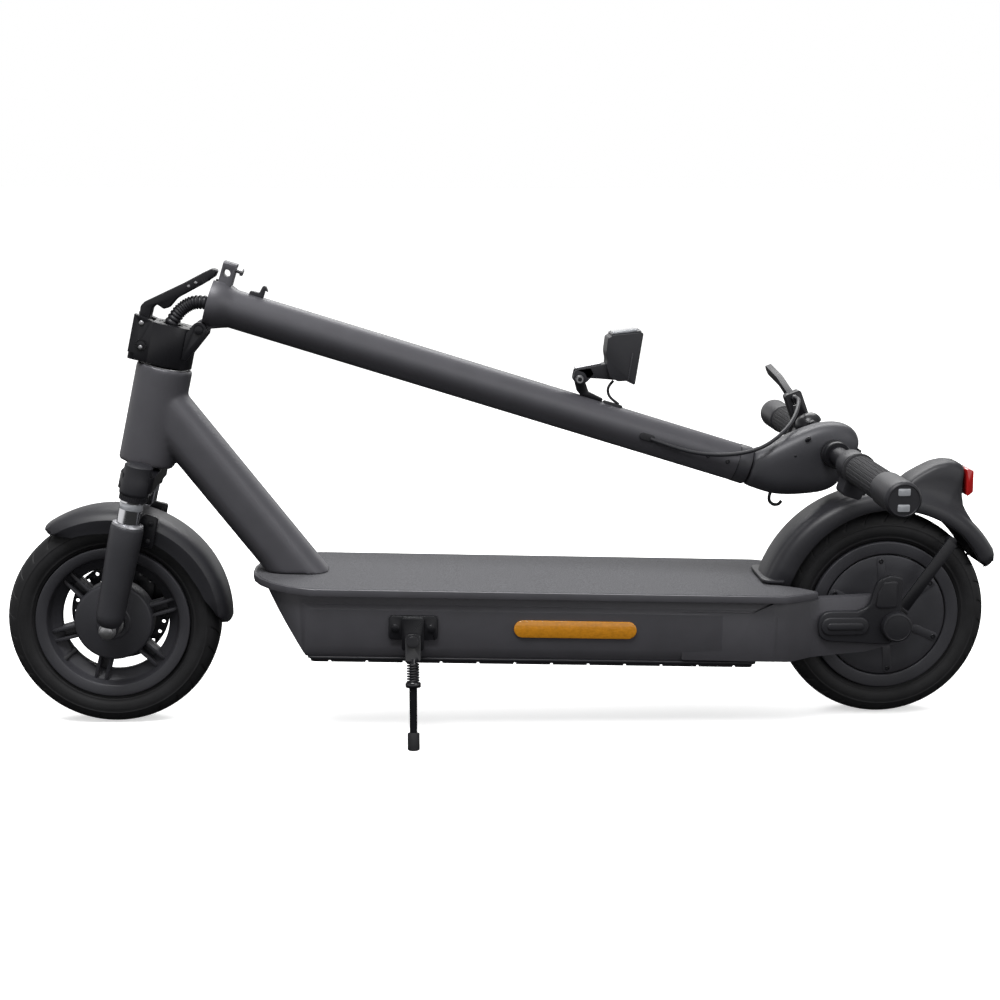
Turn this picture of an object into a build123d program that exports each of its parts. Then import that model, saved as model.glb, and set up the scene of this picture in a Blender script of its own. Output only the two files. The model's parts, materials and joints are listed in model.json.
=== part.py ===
from build123d import *
import os
from math import atan2, cos, radians, sin, tan

os.makedirs("parts", exist_ok=True)

# Folding electric kick scooter, stored folded: the stem lies back over the deck.
# +X points forward, +Y to the rider's left, +Z up. The origin is on the ground,
# below the middle of the overall length. All lengths are in millimetres.

# Driving dimensions
wheelbase = 941.6
tyre_radius = 127.5
tyre_half_width = 28
tail_reach = 138.6
rim_radius = 92
rake = 12.7
leg_spacing = 127
stem_slope = 17.2
hinge_behind = 33.3
hinge_height = 368.3
stem_radius = 23.1
stem_length = 676
bar_half = 320
bar_along = 768
bar_above = 81
deck_slope = 1.5
deck_half_width = 99
body_half_width = 88
body_depth = 84.5
fender_radius = 158
fender_half_width = 40
running = 0.04

length = tyre_radius + wheelbase + tail_reach
rear_x = tail_reach - length / 2
front_x = rear_x + wheelbase
axle_height = tyre_radius
pieces = {}


def polar(angle):
    """Unit vector in the XZ plane, at an angle from +X towards +Z."""
    return Vector(cos(radians(angle)), 0, sin(radians(angle)))


# Working planes. A side plane has X along its part and Y upwards across it.
rear_axis = Axis((rear_x, 0, axle_height), (0, 1, 0))
front_axis = Axis((front_x, 0, axle_height), (0, 1, 0))
side = Plane(origin=(rear_x, 0, 0), x_dir=(1, 0, 0), z_dir=(0, -1, 0))
deck_origin = (rear_x + 200, 0, 171.5)
deck = Plane(origin=deck_origin, x_dir=polar(deck_slope), z_dir=polar(90 + deck_slope))
deck_side = Plane(origin=deck_origin, x_dir=polar(deck_slope), z_dir=(0, -1, 0))
axle_point = (front_x, 0, axle_height)
steer = Plane(origin=axle_point, x_dir=polar(rake), z_dir=polar(90 + rake))
steer_side = Plane(origin=axle_point, x_dir=polar(rake), z_dir=(0, -1, 0))
hinge_point = steer.from_local_coords(Vector(-hinge_behind, 0, hinge_height))
stem = Plane(origin=hinge_point, x_dir=polar(90 + stem_slope), z_dir=polar(180 + stem_slope))
stem_side = Plane(origin=hinge_point, x_dir=polar(180 + stem_slope), z_dir=(0, 1, 0))
bar_point = stem.from_local_coords(Vector(bar_above, 0, bar_along))
bar = Plane(origin=bar_point, x_dir=polar(180 + stem_slope), z_dir=(0, 1, 0))


def across(axis_x, height=axle_height):
    """Sketch plane through a wheel's axle: X is lateral, Y is radial upwards."""
    return Plane(origin=(axis_x, 0, height), x_dir=(0, 1, 0), z_dir=(1, 0, 0))


# ---------------------------------------------------------------- frame
head_radius = 33
head_low = 196
head_high = 316
headset_radius = 27
steerer_radius = 17
down_angle = 52.3
down_start = Vector(rear_x + 686, 0, 142)
down = Plane(origin=down_start, x_dir=polar(90 + down_angle), z_dir=polar(down_angle))
down_long = 318

with BuildPart() as neck_frame:
    with BuildSketch(down):
        RectangleRounded(60, 58, 22)
    extrude(amount=down_long)
    with BuildSketch(steer.offset(head_low)):
        Circle(head_radius)
    extrude(amount=head_high - head_low)
    with BuildSketch(down):
        RectangleRounded(52, 50, 18)
    extrude(amount=down_long - 50, mode=Mode.SUBTRACT)
    with BuildSketch(steer.offset(head_low - 60)):
        Circle(headset_radius)
    extrude(amount=head_high - head_low + 120, mode=Mode.SUBTRACT)
    split(bisect_by=deck, keep=Keep.TOP)
pieces["neck_frame"] = neck_frame

bearing_height = 12
with BuildPart() as headset_bearings:
    for low in (head_low, head_high - bearing_height):
        with BuildSketch(steer.offset(low)):
            Circle(headset_radius)
            Circle(steerer_radius + running, mode=Mode.SUBTRACT)
        extrude(amount=bearing_height)
pieces["headset_bearings"] = headset_bearings

# Deck. The plate's nose wraps round the down tube's foot, and its tail has an ear
# beside each side of the rear wheel.
nose_reach = 573
tail_x = -52
ear_x = -105
plate_thick = 8


def plate_outline(inset=0):
    """Outline of the deck plate, drawn in by an inset."""
    edge = deck_half_width - inset
    tip = nose_reach - inset
    tail = tail_x + inset
    ear = ear_x + inset
    with BuildSketch() as outline:
        with BuildLine():
            Polyline((tip, 0), (tail, 0), (tail, 34), (-88, 52 + inset), (ear, 68), (ear, 76), (-62, edge))
            Line((-62, edge), (500 - inset, edge))
            ThreePointArc((500 - inset, edge), (548 - inset, 68 - inset / 2), (tip, 12))
            Line((tip, 12), (tip, 0))
        make_face()
        mirror(about=Plane.XZ)
    return outline.sketch


with BuildPart() as deck_plate:
    with BuildSketch(deck.offset(-plate_thick)):
        add(plate_outline())
    extrude(amount=plate_thick)
pieces["deck_plate"] = deck_plate

mat_front = 476
with BuildPart() as deck_mat:
    with BuildSketch(deck):
        with Locations(((mat_front + tail_x) / 2 + 6, 0)):
            RectangleRounded(mat_front - tail_x - 12, 2 * deck_half_width - 14, 18)
    extrude(amount=1.2)
pieces["deck_mat"] = deck_mat

body_tail = -55
wall = 4
with BuildPart() as deck_body:
    with BuildSketch(deck_side):
        with BuildLine():
            Polyline(
                (body_tail, -plate_thick), (556, -plate_thick), (505, -body_depth), (body_tail, -body_depth),
                close=True,
            )
        make_face()
    extrude(amount=body_half_width + 2, both=True)
    with BuildSketch(Plane(origin=deck_origin, x_dir=(0, 1, 0), z_dir=polar(deck_slope)).offset(body_tail)):
        with BuildLine():
            Polyline((0, -plate_thick), (84, -plate_thick), (84, -20), (88, -26), (88, -70))
            Line((88, -70), (83, -body_depth))
            Line((83, -body_depth), (0, -body_depth))
            Line((0, -body_depth), (0, -plate_thick))
        make_face()
        mirror(about=Plane.YZ)
    extrude(amount=700, mode=Mode.INTERSECT)
    with BuildSketch(deck.offset(-body_depth)):
        add(plate_outline(inset=9))
        with Locations((body_tail + 30, 0)):
            Rectangle(60, 2 * body_half_width)
    extrude(amount=body_depth, mode=Mode.INTERSECT)
    with BuildSketch(deck.offset(-body_depth)):
        with Locations((215, 0)):
            Rectangle(530, 160)
    extrude(amount=body_depth - plate_thick - wall, mode=Mode.SUBTRACT)
pieces["deck_body"] = deck_body

cover_thick = 8
with BuildPart() as bottom_cover:
    with BuildSketch(deck.offset(-body_depth - cover_thick)):
        with Locations((235, 0)):
            RectangleRounded(530, 160, 6)
    extrude(amount=cover_thick - 3)
    with BuildSketch(deck.offset(-body_depth - 3)):
        with Locations((235, 0)):
            RectangleRounded(536, 170, 6)
    extrude(amount=3)
    with BuildSketch(deck.offset(-body_depth - cover_thick)):
        with GridLocations(44, 0, 12, 1):
            with Locations((235, 0)):
                Rectangle(3, 164)
    extrude(amount=2, mode=Mode.SUBTRACT)
pieces["bottom_cover"] = bottom_cover

with BuildPart() as battery_pack:
    with BuildSketch(deck.offset(-body_depth)):
        with Locations((250, 4)):
            RectangleRounded(400, 144, 4)
    extrude(amount=62)
pieces["battery_pack"] = battery_pack

with BuildPart() as motor_controller:
    with BuildSketch(deck.offset(-body_depth)):
        with Locations((0, 4)):
            RectangleRounded(84, 110, 4)
    extrude(amount=46)
pieces["motor_controller"] = motor_controller

# Rear arms, one each side of the wheel, from the deck body's tail to the axle.
axle_radius = 6.5
arm_inner = 58
with BuildPart() as rear_arms:
    with BuildSketch(side):
        with BuildLine():
            Polyline((144, 158), (144, 87), (128, 85.6), (30, 94))
            ThreePointArc((30, 94), (-21, 122), (6, 150))
            Polyline((6, 150), (27, 164.5), (90, 158.5), (144, 158))
        make_face()
        with Locations((0, axle_height)):
            Circle(axle_radius, mode=Mode.SUBTRACT)
    extrude(amount=100, both=True)
    with BuildSketch(Plane(origin=(rear_x, 0, 0), x_dir=(1, 0, 0), z_dir=(0, 0, 1))):
        with BuildLine():
            Polyline(
                (144, 66), (144, 86), (116, 84), (100, 70.3), (-30, 70.3), (-30, arm_inner), (100, arm_inner),
                close=True,
            )
        make_face()
        mirror(about=Plane.XZ)
    extrude(amount=250, mode=Mode.INTERSECT)
pieces["rear_arms"] = rear_arms

# Axle covers: a boot-shaped cover with an oblong rib, and a round cap over the nut.
cap_radius = 18
with BuildPart() as axle_covers:
    with BuildSketch(side.offset(-70.5)):
        with Locations((70, 128)):
            Rectangle(48, 36)
        with Locations((76, 128)):
            Circle(18)
        with BuildLine():
            Polyline((46, 108), (6, 104), (-6, 120), (-6, 186), (4, 189))
            ThreePointArc((4, 189), (22, 184), (28, 170))
            Line((28, 170), (32, 155))
            ThreePointArc((32, 155), (38, 148), (46, 146))
            Line((46, 146), (46, 108))
        make_face()
        with Locations((0, axle_height)):
            Circle(cap_radius + 0.2, mode=Mode.SUBTRACT)
    extrude(amount=-8)
    with BuildSketch(side.offset(-78)):
        with Locations((58, 128)):
            SlotOverall(56, 14)
    extrude(amount=-2.5)
    with BuildSketch(side.offset(-71)):
        with Locations((0, axle_height)):
            Circle(cap_radius)
            Circle(12, mode=Mode.SUBTRACT)
    extrude(amount=-15)
    with BuildSketch(side.offset(-86)):
        with Locations((0, axle_height)):
            Circle(cap_radius)
    extrude(amount=-3)
    mirror(about=Plane.XZ)
pieces["axle_covers"] = axle_covers

with BuildPart() as rear_axle:
    with BuildSketch(side):
        with Locations((0, axle_height)):
            Circle(axle_radius)
    extrude(amount=84, both=True)
    with BuildSketch(side.offset(-72)):
        with Locations((0, axle_height)):
            RegularPolygon(10, 6)
    extrude(amount=-9)
    with BuildSketch(side.offset(72)):
        with Locations((0, axle_height)):
            RegularPolygon(10, 6)
    extrude(amount=9)
    with BuildSketch(side):
        with Locations((0, axle_height)):
            Circle(68)
            Circle(20, mode=Mode.SUBTRACT)
    extrude(amount=13, both=True)
    with BuildSketch(side):
        with Locations((0, axle_height)):
            Circle(22)
    extrude(amount=10, both=True)
pieces["rear_axle"] = rear_axle

# Rear fender: a rounded channel over the tyre with a raised housing for the tail light.
fender_wall = 3
fender_start = 17.5
fender_sweep = 132
fender_inner = fender_radius - fender_wall
skirt_radius = 129.5
start_dir = polar(fender_start)
fender_plane = Plane(
    origin=(rear_x, 0, axle_height), x_dir=(0, 1, 0), z_dir=(start_dir.Z, 0, -start_dir.X)
)


def channel(low, high, half, thick, corner):
    """Inverted U section between two radii, rounded at its crown."""
    top = high - low + corner
    with BuildSketch() as section:
        with Locations((0, high - top / 2)):
            RectangleRounded(2 * half, top, corner)
            RectangleRounded(2 * (half - thick), top - 2 * thick, corner - thick, mode=Mode.SUBTRACT)
        with Locations((0, low - corner)):
            Rectangle(2 * half + 2, 2 * corner, mode=Mode.SUBTRACT)
    return section.sketch


lamp_half = 24
with BuildPart() as rear_fender:
    with BuildSketch(fender_plane):
        add(channel(skirt_radius, fender_radius, fender_half_width, fender_wall, 16))
    revolve(axis=rear_axis, revolution_arc=-fender_sweep)
    with BuildSketch(side):
        with BuildLine():
            Polyline((-20, 286), (-41, 306))
            ThreePointArc((-41, 306), (-60, 315.5), (-84, 317.5))
            Polyline(
                (-84, 317.5), (-95, 311), (-95.5, 264), (-138.6, 187), (-134, 184), (-96, 250), (-70, 270),
                (-20, 286),
            )
        make_face()
    extrude(amount=lamp_half, both=True)
    with BuildSketch(side):
        with Locations((0, axle_height)):
            Circle(fender_inner)
    extrude(amount=lamp_half, both=True, mode=Mode.SUBTRACT)
pieces["rear_fender"] = rear_fender

with BuildPart() as tail_light:
    with BuildSketch(side):
        with BuildLine():
            Polyline((-95.3, 308), (-104, 306), (-105, 280), (-95.6, 274), close=True)
        make_face()
    extrude(amount=20, both=True)
pieces["tail_light"] = tail_light

stay_foot = (-16, 143)
stay_top = (-72, 224)
with BuildPart() as fender_stays:
    with BuildSketch(side.offset(-50)):
        with BuildLine():
            reach = atan2(stay_top[1] - stay_foot[1], stay_top[0] - stay_foot[0])
            off_x = -7 * sin(reach)
            off_y = 7 * cos(reach)
            Polyline(
                (stay_foot[0] - off_x, stay_foot[1] - off_y),
                (stay_foot[0] + off_x, stay_foot[1] + off_y),
                (stay_top[0] + off_x, stay_top[1] + off_y),
                (stay_top[0] - off_x, stay_top[1] - off_y),
                close=True,
            )
        make_face()
        with BuildLine():
            Polyline((6, 140), (-8, 150), (-22, 136), (-8, 120), close=True)
        make_face()
        with Locations((0, axle_height)):
            Circle(14)
        with Locations((0, axle_height)):
            Circle(axle_radius, mode=Mode.SUBTRACT)
    extrude(amount=-3)
    with BuildSketch(side.offset(-40.2)):
        with Locations((stay_top[0], stay_top[1])):
            Circle(6)
    extrude(amount=-10)
    with BuildSketch(side.offset(-53)):
        with Locations((0, axle_height)):
            Circle(13)
            Circle(axle_radius, mode=Mode.SUBTRACT)
    extrude(amount=-5)
    mirror(about=Plane.XZ)
pieces["fender_stays"] = fender_stays

with BuildPart() as side_reflectors:
    with BuildSketch(deck_side.offset(-body_half_width)):
        with Locations((187, -46)):
            SlotOverall(146, 21)
    extrude(amount=-3)
    mirror(about=Plane.XZ)
pieces["side_reflectors"] = side_reflectors

# Kickstand bracket on the left side, with its two plate screws and the leg's pivot pin.
# The pivot's plane is tilted with the leg: X is forward and Y runs down the leg.
stand_x = 379
plate_mid = -46
pivot_out = 16
pivot_z = -60
foot_out = 134
stand_pivot = deck.from_local_coords(Vector(stand_x, body_half_width + pivot_out, pivot_z))
lean = atan2(foot_out - stand_pivot.Y, stand_pivot.Z)
pivot_plane = Plane(origin=stand_pivot, x_dir=(1, 0, 0), z_dir=(0, cos(lean), sin(lean)))
leg_dir = pivot_plane.y_dir
leg_plane = Plane(origin=stand_pivot, x_dir=(1, 0, 0), z_dir=leg_dir)
leg_long = stand_pivot.Z / cos(lean)
leg_half = 4
with BuildPart() as kickstand_bracket:
    with BuildSketch(deck_side.offset(-body_half_width)):
        with Locations((stand_x, plate_mid)):
            RectangleRounded(58, 29, 5)
    extrude(amount=-5)
    with BuildSketch(deck_side.offset(-body_half_width - 5)):
        with Locations((stand_x - 21, plate_mid), (stand_x + 21, plate_mid)):
            Circle(4)
    extrude(amount=-2)
    with BuildSketch(deck_side.offset(-body_half_width)):
        with Locations((stand_x, -53)):
            RectangleRounded(26, 40, 3)
    extrude(amount=-7)
    with BuildSketch(pivot_plane.offset(-14)):
        Circle(9)
    extrude(amount=14 - leg_half - 0.4)
    with BuildSketch(pivot_plane.offset(-12)):
        Circle(4)
    extrude(amount=12 + leg_half + 3)
    with BuildSketch(pivot_plane.offset(leg_half + 0.4)):
        Circle(7)
    extrude(amount=3)
pieces["kickstand_bracket"] = kickstand_bracket

# The leg leans out, carries its coil spring and a collar, and ends in a rubber foot.
with BuildPart() as kickstand_leg:
    with BuildSketch(pivot_plane.offset(-leg_half)):
        with Locations((0, 8)):
            RectangleRounded(18, 34, 4)
    extrude(amount=2 * leg_half)
    with BuildSketch(leg_plane.offset(19)):
        Circle(4.5)
    extrude(amount=leg_long - 30)
    with BuildSketch(leg_plane.offset(47)):
        Circle(9)
    extrude(amount=6)
    for turn in range(6):
        with BuildSketch(leg_plane.offset(25.5 + 3.6 * turn)):
            Circle(7.5)
        extrude(amount=2.4)
    with BuildSketch(pivot_plane.offset(-10)):
        Circle(4 + running)
    extrude(amount=20, mode=Mode.SUBTRACT)
pieces["kickstand_leg"] = kickstand_leg

with BuildPart() as kickstand_foot:
    with BuildSketch(leg_plane.offset(leg_long - 20)):
        Circle(7.5)
    extrude(amount=30)
    with BuildSketch(leg_plane.offset(leg_long - 20)):
        Circle(5)
    extrude(amount=9, mode=Mode.SUBTRACT)
    split(bisect_by=Plane.XY, keep=Keep.TOP)
pieces["kickstand_foot"] = kickstand_foot

# Charging socket on the right side of the deck body, with a hinged flap.
port_x = 420
port_z = -48
flap_axis_z = -34.8
flap_axis = deck.from_local_coords(Vector(port_x, -body_half_width - 2.9, flap_axis_z))
flap_hinge = Plane(origin=flap_axis, x_dir=(0, 1, 0), z_dir=polar(deck_slope))
with BuildPart() as charge_port:
    with BuildSketch(deck_side.offset(body_half_width - 8)):
        with Locations((port_x, port_z)):
            Circle(13)
            Circle(6, mode=Mode.SUBTRACT)
    extrude(amount=9)
    with BuildSketch(deck_side.offset(body_half_width - 8)):
        with Locations((port_x, port_z)):
            Circle(2)
    extrude(amount=6)
    with BuildSketch(deck_side.offset(body_half_width - 8)):
        with Locations((port_x, port_z)):
            Circle(7)
    extrude(amount=2)
    with BuildSketch(deck_side.offset(body_half_width + 1)):
        with Locations((port_x, flap_axis_z + 1), (port_x, flap_axis_z + 5)):
            Rectangle(17, 4)
        with Locations((port_x, flap_axis_z)):
            Rectangle(10.8, 4.4, mode=Mode.SUBTRACT)
    extrude(amount=3.4)
    with BuildSketch(flap_hinge.offset(-8)):
        Circle(0.8)
    extrude(amount=16)
pieces["charge_port"] = charge_port

with BuildPart() as charge_flap:
    with BuildSketch(deck_side.offset(body_half_width + 1.4)):
        with Locations((port_x, port_z - 1)):
            Circle(12.5)
        with Locations((port_x, port_z + 8)):
            Rectangle(10, 10)
    extrude(amount=3)
    with BuildSketch(flap_hinge.offset(-5)):
        Circle(1.7)
    extrude(amount=10)
    with BuildSketch(flap_hinge.offset(-6)):
        Circle(0.8 + running)
    extrude(amount=12, mode=Mode.SUBTRACT)
pieces["charge_flap"] = charge_flap

# Side wall openings: the socket's hole and nothing else.
with BuildPart() as port_hole:
    with BuildSketch(deck_side.offset(body_half_width - 12)):
        with Locations((port_x, port_z)):
            Circle(13)
    extrude(amount=14)
deck_body.part = deck_body.part - port_hole.part

# ---------------------------------------------------------------- wheels
bead = rim_radius


def tyre_section():
    """Hollow tyre section: flat tread, round shoulders, beads on the rim."""
    with BuildSketch() as section:
        with BuildLine():
            ThreePointArc((-21, bead), (-tyre_half_width, 107), (-13, tyre_radius))
            Line((-13, tyre_radius), (13, tyre_radius))
            ThreePointArc((13, tyre_radius), (tyre_half_width, 107), (21, bead))
            Line((21, bead), (15, bead))
            ThreePointArc((15, bead), (21.5, 107), (10, tyre_radius - 7))
            Line((10, tyre_radius - 7), (-10, tyre_radius - 7))
            ThreePointArc((-10, tyre_radius - 7), (-21.5, 107), (-15, bead))
            Line((-15, bead), (-21, bead))
        make_face()
    return section.sketch


with BuildPart() as front_tyre:
    with BuildSketch(across(front_x)):
        add(tyre_section())
    revolve(axis=front_axis)
pieces["front_tyre"] = front_tyre

with BuildPart() as rear_tyre:
    with BuildSketch(across(rear_x)):
        add(tyre_section())
    revolve(axis=rear_axis)
pieces["rear_tyre"] = rear_tyre

# Front rim: a dished barrel, a pierced web and a wide hub, with six double-ribbed spokes.
spokes = 6
hub_radius = 47
window_radius = 64
bearing_radius = 14
bearing_width = 8
hub_end = 34
valve_plane = Plane(origin=Vector(*axle_point) + polar(-38) * 70, x_dir=(0, 1, 0), z_dir=polar(-38))
front_side = Plane(origin=axle_point, x_dir=(1, 0, 0), z_dir=(0, -1, 0))
with BuildPart() as front_rim:
    with BuildSketch(across(front_x)):
        with BuildLine():
            Polyline(
                (-27, 86), (-27, rim_radius), (27, rim_radius), (27, 86), (10, 78), (4, 60), (4, hub_radius),
                (24, hub_radius), (24, 20), (hub_end, 20), (hub_end, bearing_radius), (-30, bearing_radius),
                (-30, 22), (-4, 26), (-4, 60), (-10, 80), close=True,
            )
        make_face()
    revolve(axis=front_axis)
    with BuildSketch(front_side.offset(-30)):
        with PolarLocations(0, spokes, start_angle=48):
            with BuildLine():
                opening = 19
                inner_a = Vector(hub_radius + 1.5, 0).rotate(Axis.Z, -opening)
                outer_a = Vector(window_radius, 0).rotate(Axis.Z, -opening - 2)
                inner_b = Vector(hub_radius + 1.5, 0).rotate(Axis.Z, opening)
                outer_b = Vector(window_radius, 0).rotate(Axis.Z, opening + 2)
                Line(inner_a, outer_a)
                ThreePointArc(outer_a, (window_radius, 0), outer_b)
                Line(outer_b, inner_b)
                ThreePointArc(inner_b, (hub_radius + 1.5, 0), inner_a)
            make_face()
    extrude(amount=60, mode=Mode.SUBTRACT)
    with BuildSketch(front_side.offset(-3)):
        with PolarLocations(0, spokes, start_angle=18):
            with Locations((65, -5), (65, 5)):
                Rectangle(40, 3)
    extrude(amount=-14)
    with BuildSketch(valve_plane):
        with Locations((12, 0)):
            Circle(3)
    extrude(amount=16)
pieces["front_rim"] = front_rim

with BuildPart() as front_bearings:
    for low in (-30, hub_end - bearing_width):
        with BuildSketch(front_side.offset(-low)):
            Circle(bearing_radius)
            Circle(6 + running, mode=Mode.SUBTRACT)
        extrude(amount=-bearing_width)
pieces["front_bearings"] = front_bearings

with BuildPart() as brake_rotor:
    with BuildSketch(front_side.offset(30)):
        Circle(60)
        Circle(bearing_radius + 1, mode=Mode.SUBTRACT)
        with PolarLocations(54, 24):
            Circle(2.2, mode=Mode.SUBTRACT)
        with PolarLocations(34, 6):
            SlotOverall(20, 11, mode=Mode.SUBTRACT)
    extrude(amount=2)
pieces["brake_rotor"] = brake_rotor

# Hub motor: a shell with the rim on it, a cover on each side, magnets inside.
cover_radius = 82
with BuildPart() as motor_shell:
    with BuildSketch(across(rear_x)):
        with BuildLine():
            Polyline((-27, cover_radius), (-27, rim_radius), (27, rim_radius), (27, cover_radius), close=True)
        make_face()
    revolve(axis=rear_axis)
    with BuildSketch(across(rear_x)):
        with Locations((0, 79.5)):
            Rectangle(32, 6)
    revolve(axis=rear_axis)
pieces["motor_shell"] = motor_shell

with BuildPart() as motor_magnets:
    with BuildSketch(side.offset(14)):
        with Locations((0, axle_height)):
            Circle(76.5)
            Circle(72.5, mode=Mode.SUBTRACT)
    extrude(amount=-28)
pieces["motor_magnets"] = motor_magnets

with BuildPart() as motor_covers:
    with BuildSketch(side.offset(-26)):
        with Locations((0, axle_height)):
            Circle(cover_radius)
            Circle(axle_radius + running, mode=Mode.SUBTRACT)
    extrude(amount=5)
    with BuildSketch(side.offset(-21)):
        with Locations((0, axle_height)):
            Circle(cover_radius)
            Circle(76.5, mode=Mode.SUBTRACT)
    extrude(amount=5)
    with BuildSketch(side.offset(-26)):
        with Locations((0, axle_height)):
            with PolarLocations(74, 3, start_angle=-25):
                Circle(4.5)
    extrude(amount=-1)
    with BuildSketch(side.offset(-26)):
        with Locations((0, axle_height)):
            Circle(24)
            Circle(axle_radius + running, mode=Mode.SUBTRACT)
    extrude(amount=-4)
    mirror(about=Plane.XZ)
pieces["motor_covers"] = motor_covers

# ---------------------------------------------------------------- fork
crown_low = 174
crown_high = 193
leg_y = leg_spacing / 2
stanchion_radius = 13.5
sleeve_radius = 17
with BuildPart() as fork_crown:
    with BuildSketch(steer.offset(crown_low)):
        SlotOverall(leg_spacing + 30, 40, rotation=90)
    extrude(amount=crown_high - crown_low)
    with BuildSketch(steer.offset(crown_high)):
        Circle(steerer_radius)
    extrude(amount=366 - crown_high)
    with BuildSketch(steer.offset(crown_low)):
        Circle(12)
    extrude(amount=200, mode=Mode.SUBTRACT)
    with BuildSketch(steer.offset(crown_low - 1)):
        with Locations((0, leg_y), (0, -leg_y)):
            Circle(sleeve_radius)
    extrude(amount=60, mode=Mode.SUBTRACT)
pieces["fork_crown"] = fork_crown

with BuildPart() as stanchions:
    with BuildSketch(steer.offset(66)):
        with Locations((0, leg_y), (0, -leg_y)):
            Circle(stanchion_radius)
            Circle(stanchion_radius - 2.5, mode=Mode.SUBTRACT)
    extrude(amount=134)
pieces["stanchions"] = stanchions

with BuildPart() as stanchion_sleeves:
    with BuildSketch(steer.offset(172)):
        with Locations((0, leg_y), (0, -leg_y)):
            Circle(sleeve_radius)
            Circle(stanchion_radius, mode=Mode.SUBTRACT)
    extrude(amount=28)
    with BuildSketch(steer.offset(200)):
        with Locations((0, leg_y), (0, -leg_y)):
            Circle(15)
    extrude(amount=5)
pieces["stanchion_sleeves"] = stanchion_sleeves

spring_low = 70
spring_turns = 11
spring_pitch = 5.2
with BuildPart() as fork_springs:
    for turn in range(spring_turns):
        with BuildSketch(steer.offset(spring_low + spring_pitch * turn)):
            with Locations((0, leg_y), (0, -leg_y)):
                Circle(9.5)
                Circle(6.5, mode=Mode.SUBTRACT)
        extrude(amount=3)
    with BuildSketch(steer.offset(spring_low)):
        with Locations((0, leg_y), (0, -leg_y)):
            Circle(7.5)
            Circle(6.5, mode=Mode.SUBTRACT)
    extrude(amount=spring_pitch * (spring_turns - 1))
pieces["fork_springs"] = fork_springs

lower_radius = 19.3
lower_top = 132
bore_low = 42
axle_bolt = 6
dropout_in = 50
with BuildPart() as fork_lowers:
    with BuildSketch(steer.offset(18)):
        with Locations((0, leg_y)):
            Circle(16.5)
    with BuildSketch(steer.offset(lower_top)):
        with Locations((0, leg_y)):
            Circle(lower_radius)
    loft()
    with BuildSketch(steer_side.offset(-dropout_in)):
        with BuildLine():
            Polyline((-11, 0), (-11, 30), (11, 30), (11, 0))
            ThreePointArc((11, 0), (0, -11), (-11, 0))
        make_face()
    extrude(amount=-8)
    with BuildSketch(steer_side.offset(-lower_radius - 25)):
        with Locations((-18, 118)):
            Rectangle(16, 18)
    extrude(amount=-14)
    with BuildSketch(steer.offset(bore_low)):
        with Locations((0, leg_y)):
            Circle(stanchion_radius + running)
    extrude(amount=lower_top, mode=Mode.SUBTRACT)
    with BuildSketch(steer_side.offset(-dropout_in + 2)):
        Circle(axle_bolt)
    extrude(amount=-30, mode=Mode.SUBTRACT)
    mirror(about=Plane.XZ)
pieces["fork_lowers"] = fork_lowers

# Front fender, carried by the lower legs.
front_fender_radius = 141
front_fender_half = 38
front_fender_start = 57
front_dir = polar(front_fender_start)
front_fender_plane = Plane(origin=axle_point, x_dir=(0, 1, 0), z_dir=(front_dir.Z, 0, -front_dir.X))
with BuildPart() as front_fender:
    with BuildSketch(steer_side):
        with Locations((-18, 122)):
            Rectangle(16, 24)
    extrude(amount=44.2, both=True)
    with BuildSketch(front_side):
        Circle(front_fender_radius)
    extrude(amount=front_fender_half - 0.5, both=True, mode=Mode.SUBTRACT)
    with BuildSketch(front_fender_plane):
        add(channel(114, front_fender_radius, front_fender_half, fender_wall, 10))
    revolve(axis=front_axis, revolution_arc=-123)
pieces["front_fender"] = front_fender

with BuildPart() as front_axle:
    with BuildSketch(front_side):
        Circle(axle_bolt)
    extrude(amount=72, both=True)
    for nut_low in (58, -66):
        with BuildSketch(front_side.offset(-nut_low)):
            RegularPolygon(9, 6)
        extrude(amount=-8)
    for collar_low, collar_long in ((hub_end, 50 - hub_end), (-50, 50 - 32)):
        with BuildSketch(front_side.offset(-collar_low)):
            Circle(9)
            Circle(axle_bolt, mode=Mode.SUBTRACT)
        extrude(amount=-collar_long + 0.3)
pieces["front_axle"] = front_axle

# Ventilated caliper over the rotor's rear edge, on the right leg.
with BuildPart() as brake_caliper:
    with BuildSketch(steer_side.offset(24)):
        with Locations((-50, 34)):
            RectangleRounded(30, 40, 6)
    extrude(amount=19)
    with BuildSketch(steer_side.offset(26.5)):
        Circle(62)
    extrude(amount=8.5, mode=Mode.SUBTRACT)
    with BuildSketch(steer_side.offset(40)):
        with Locations((-34, 40)):
            RectangleRounded(44, 12, 3)
    extrude(amount=8)
pieces["brake_caliper"] = brake_caliper

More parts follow.
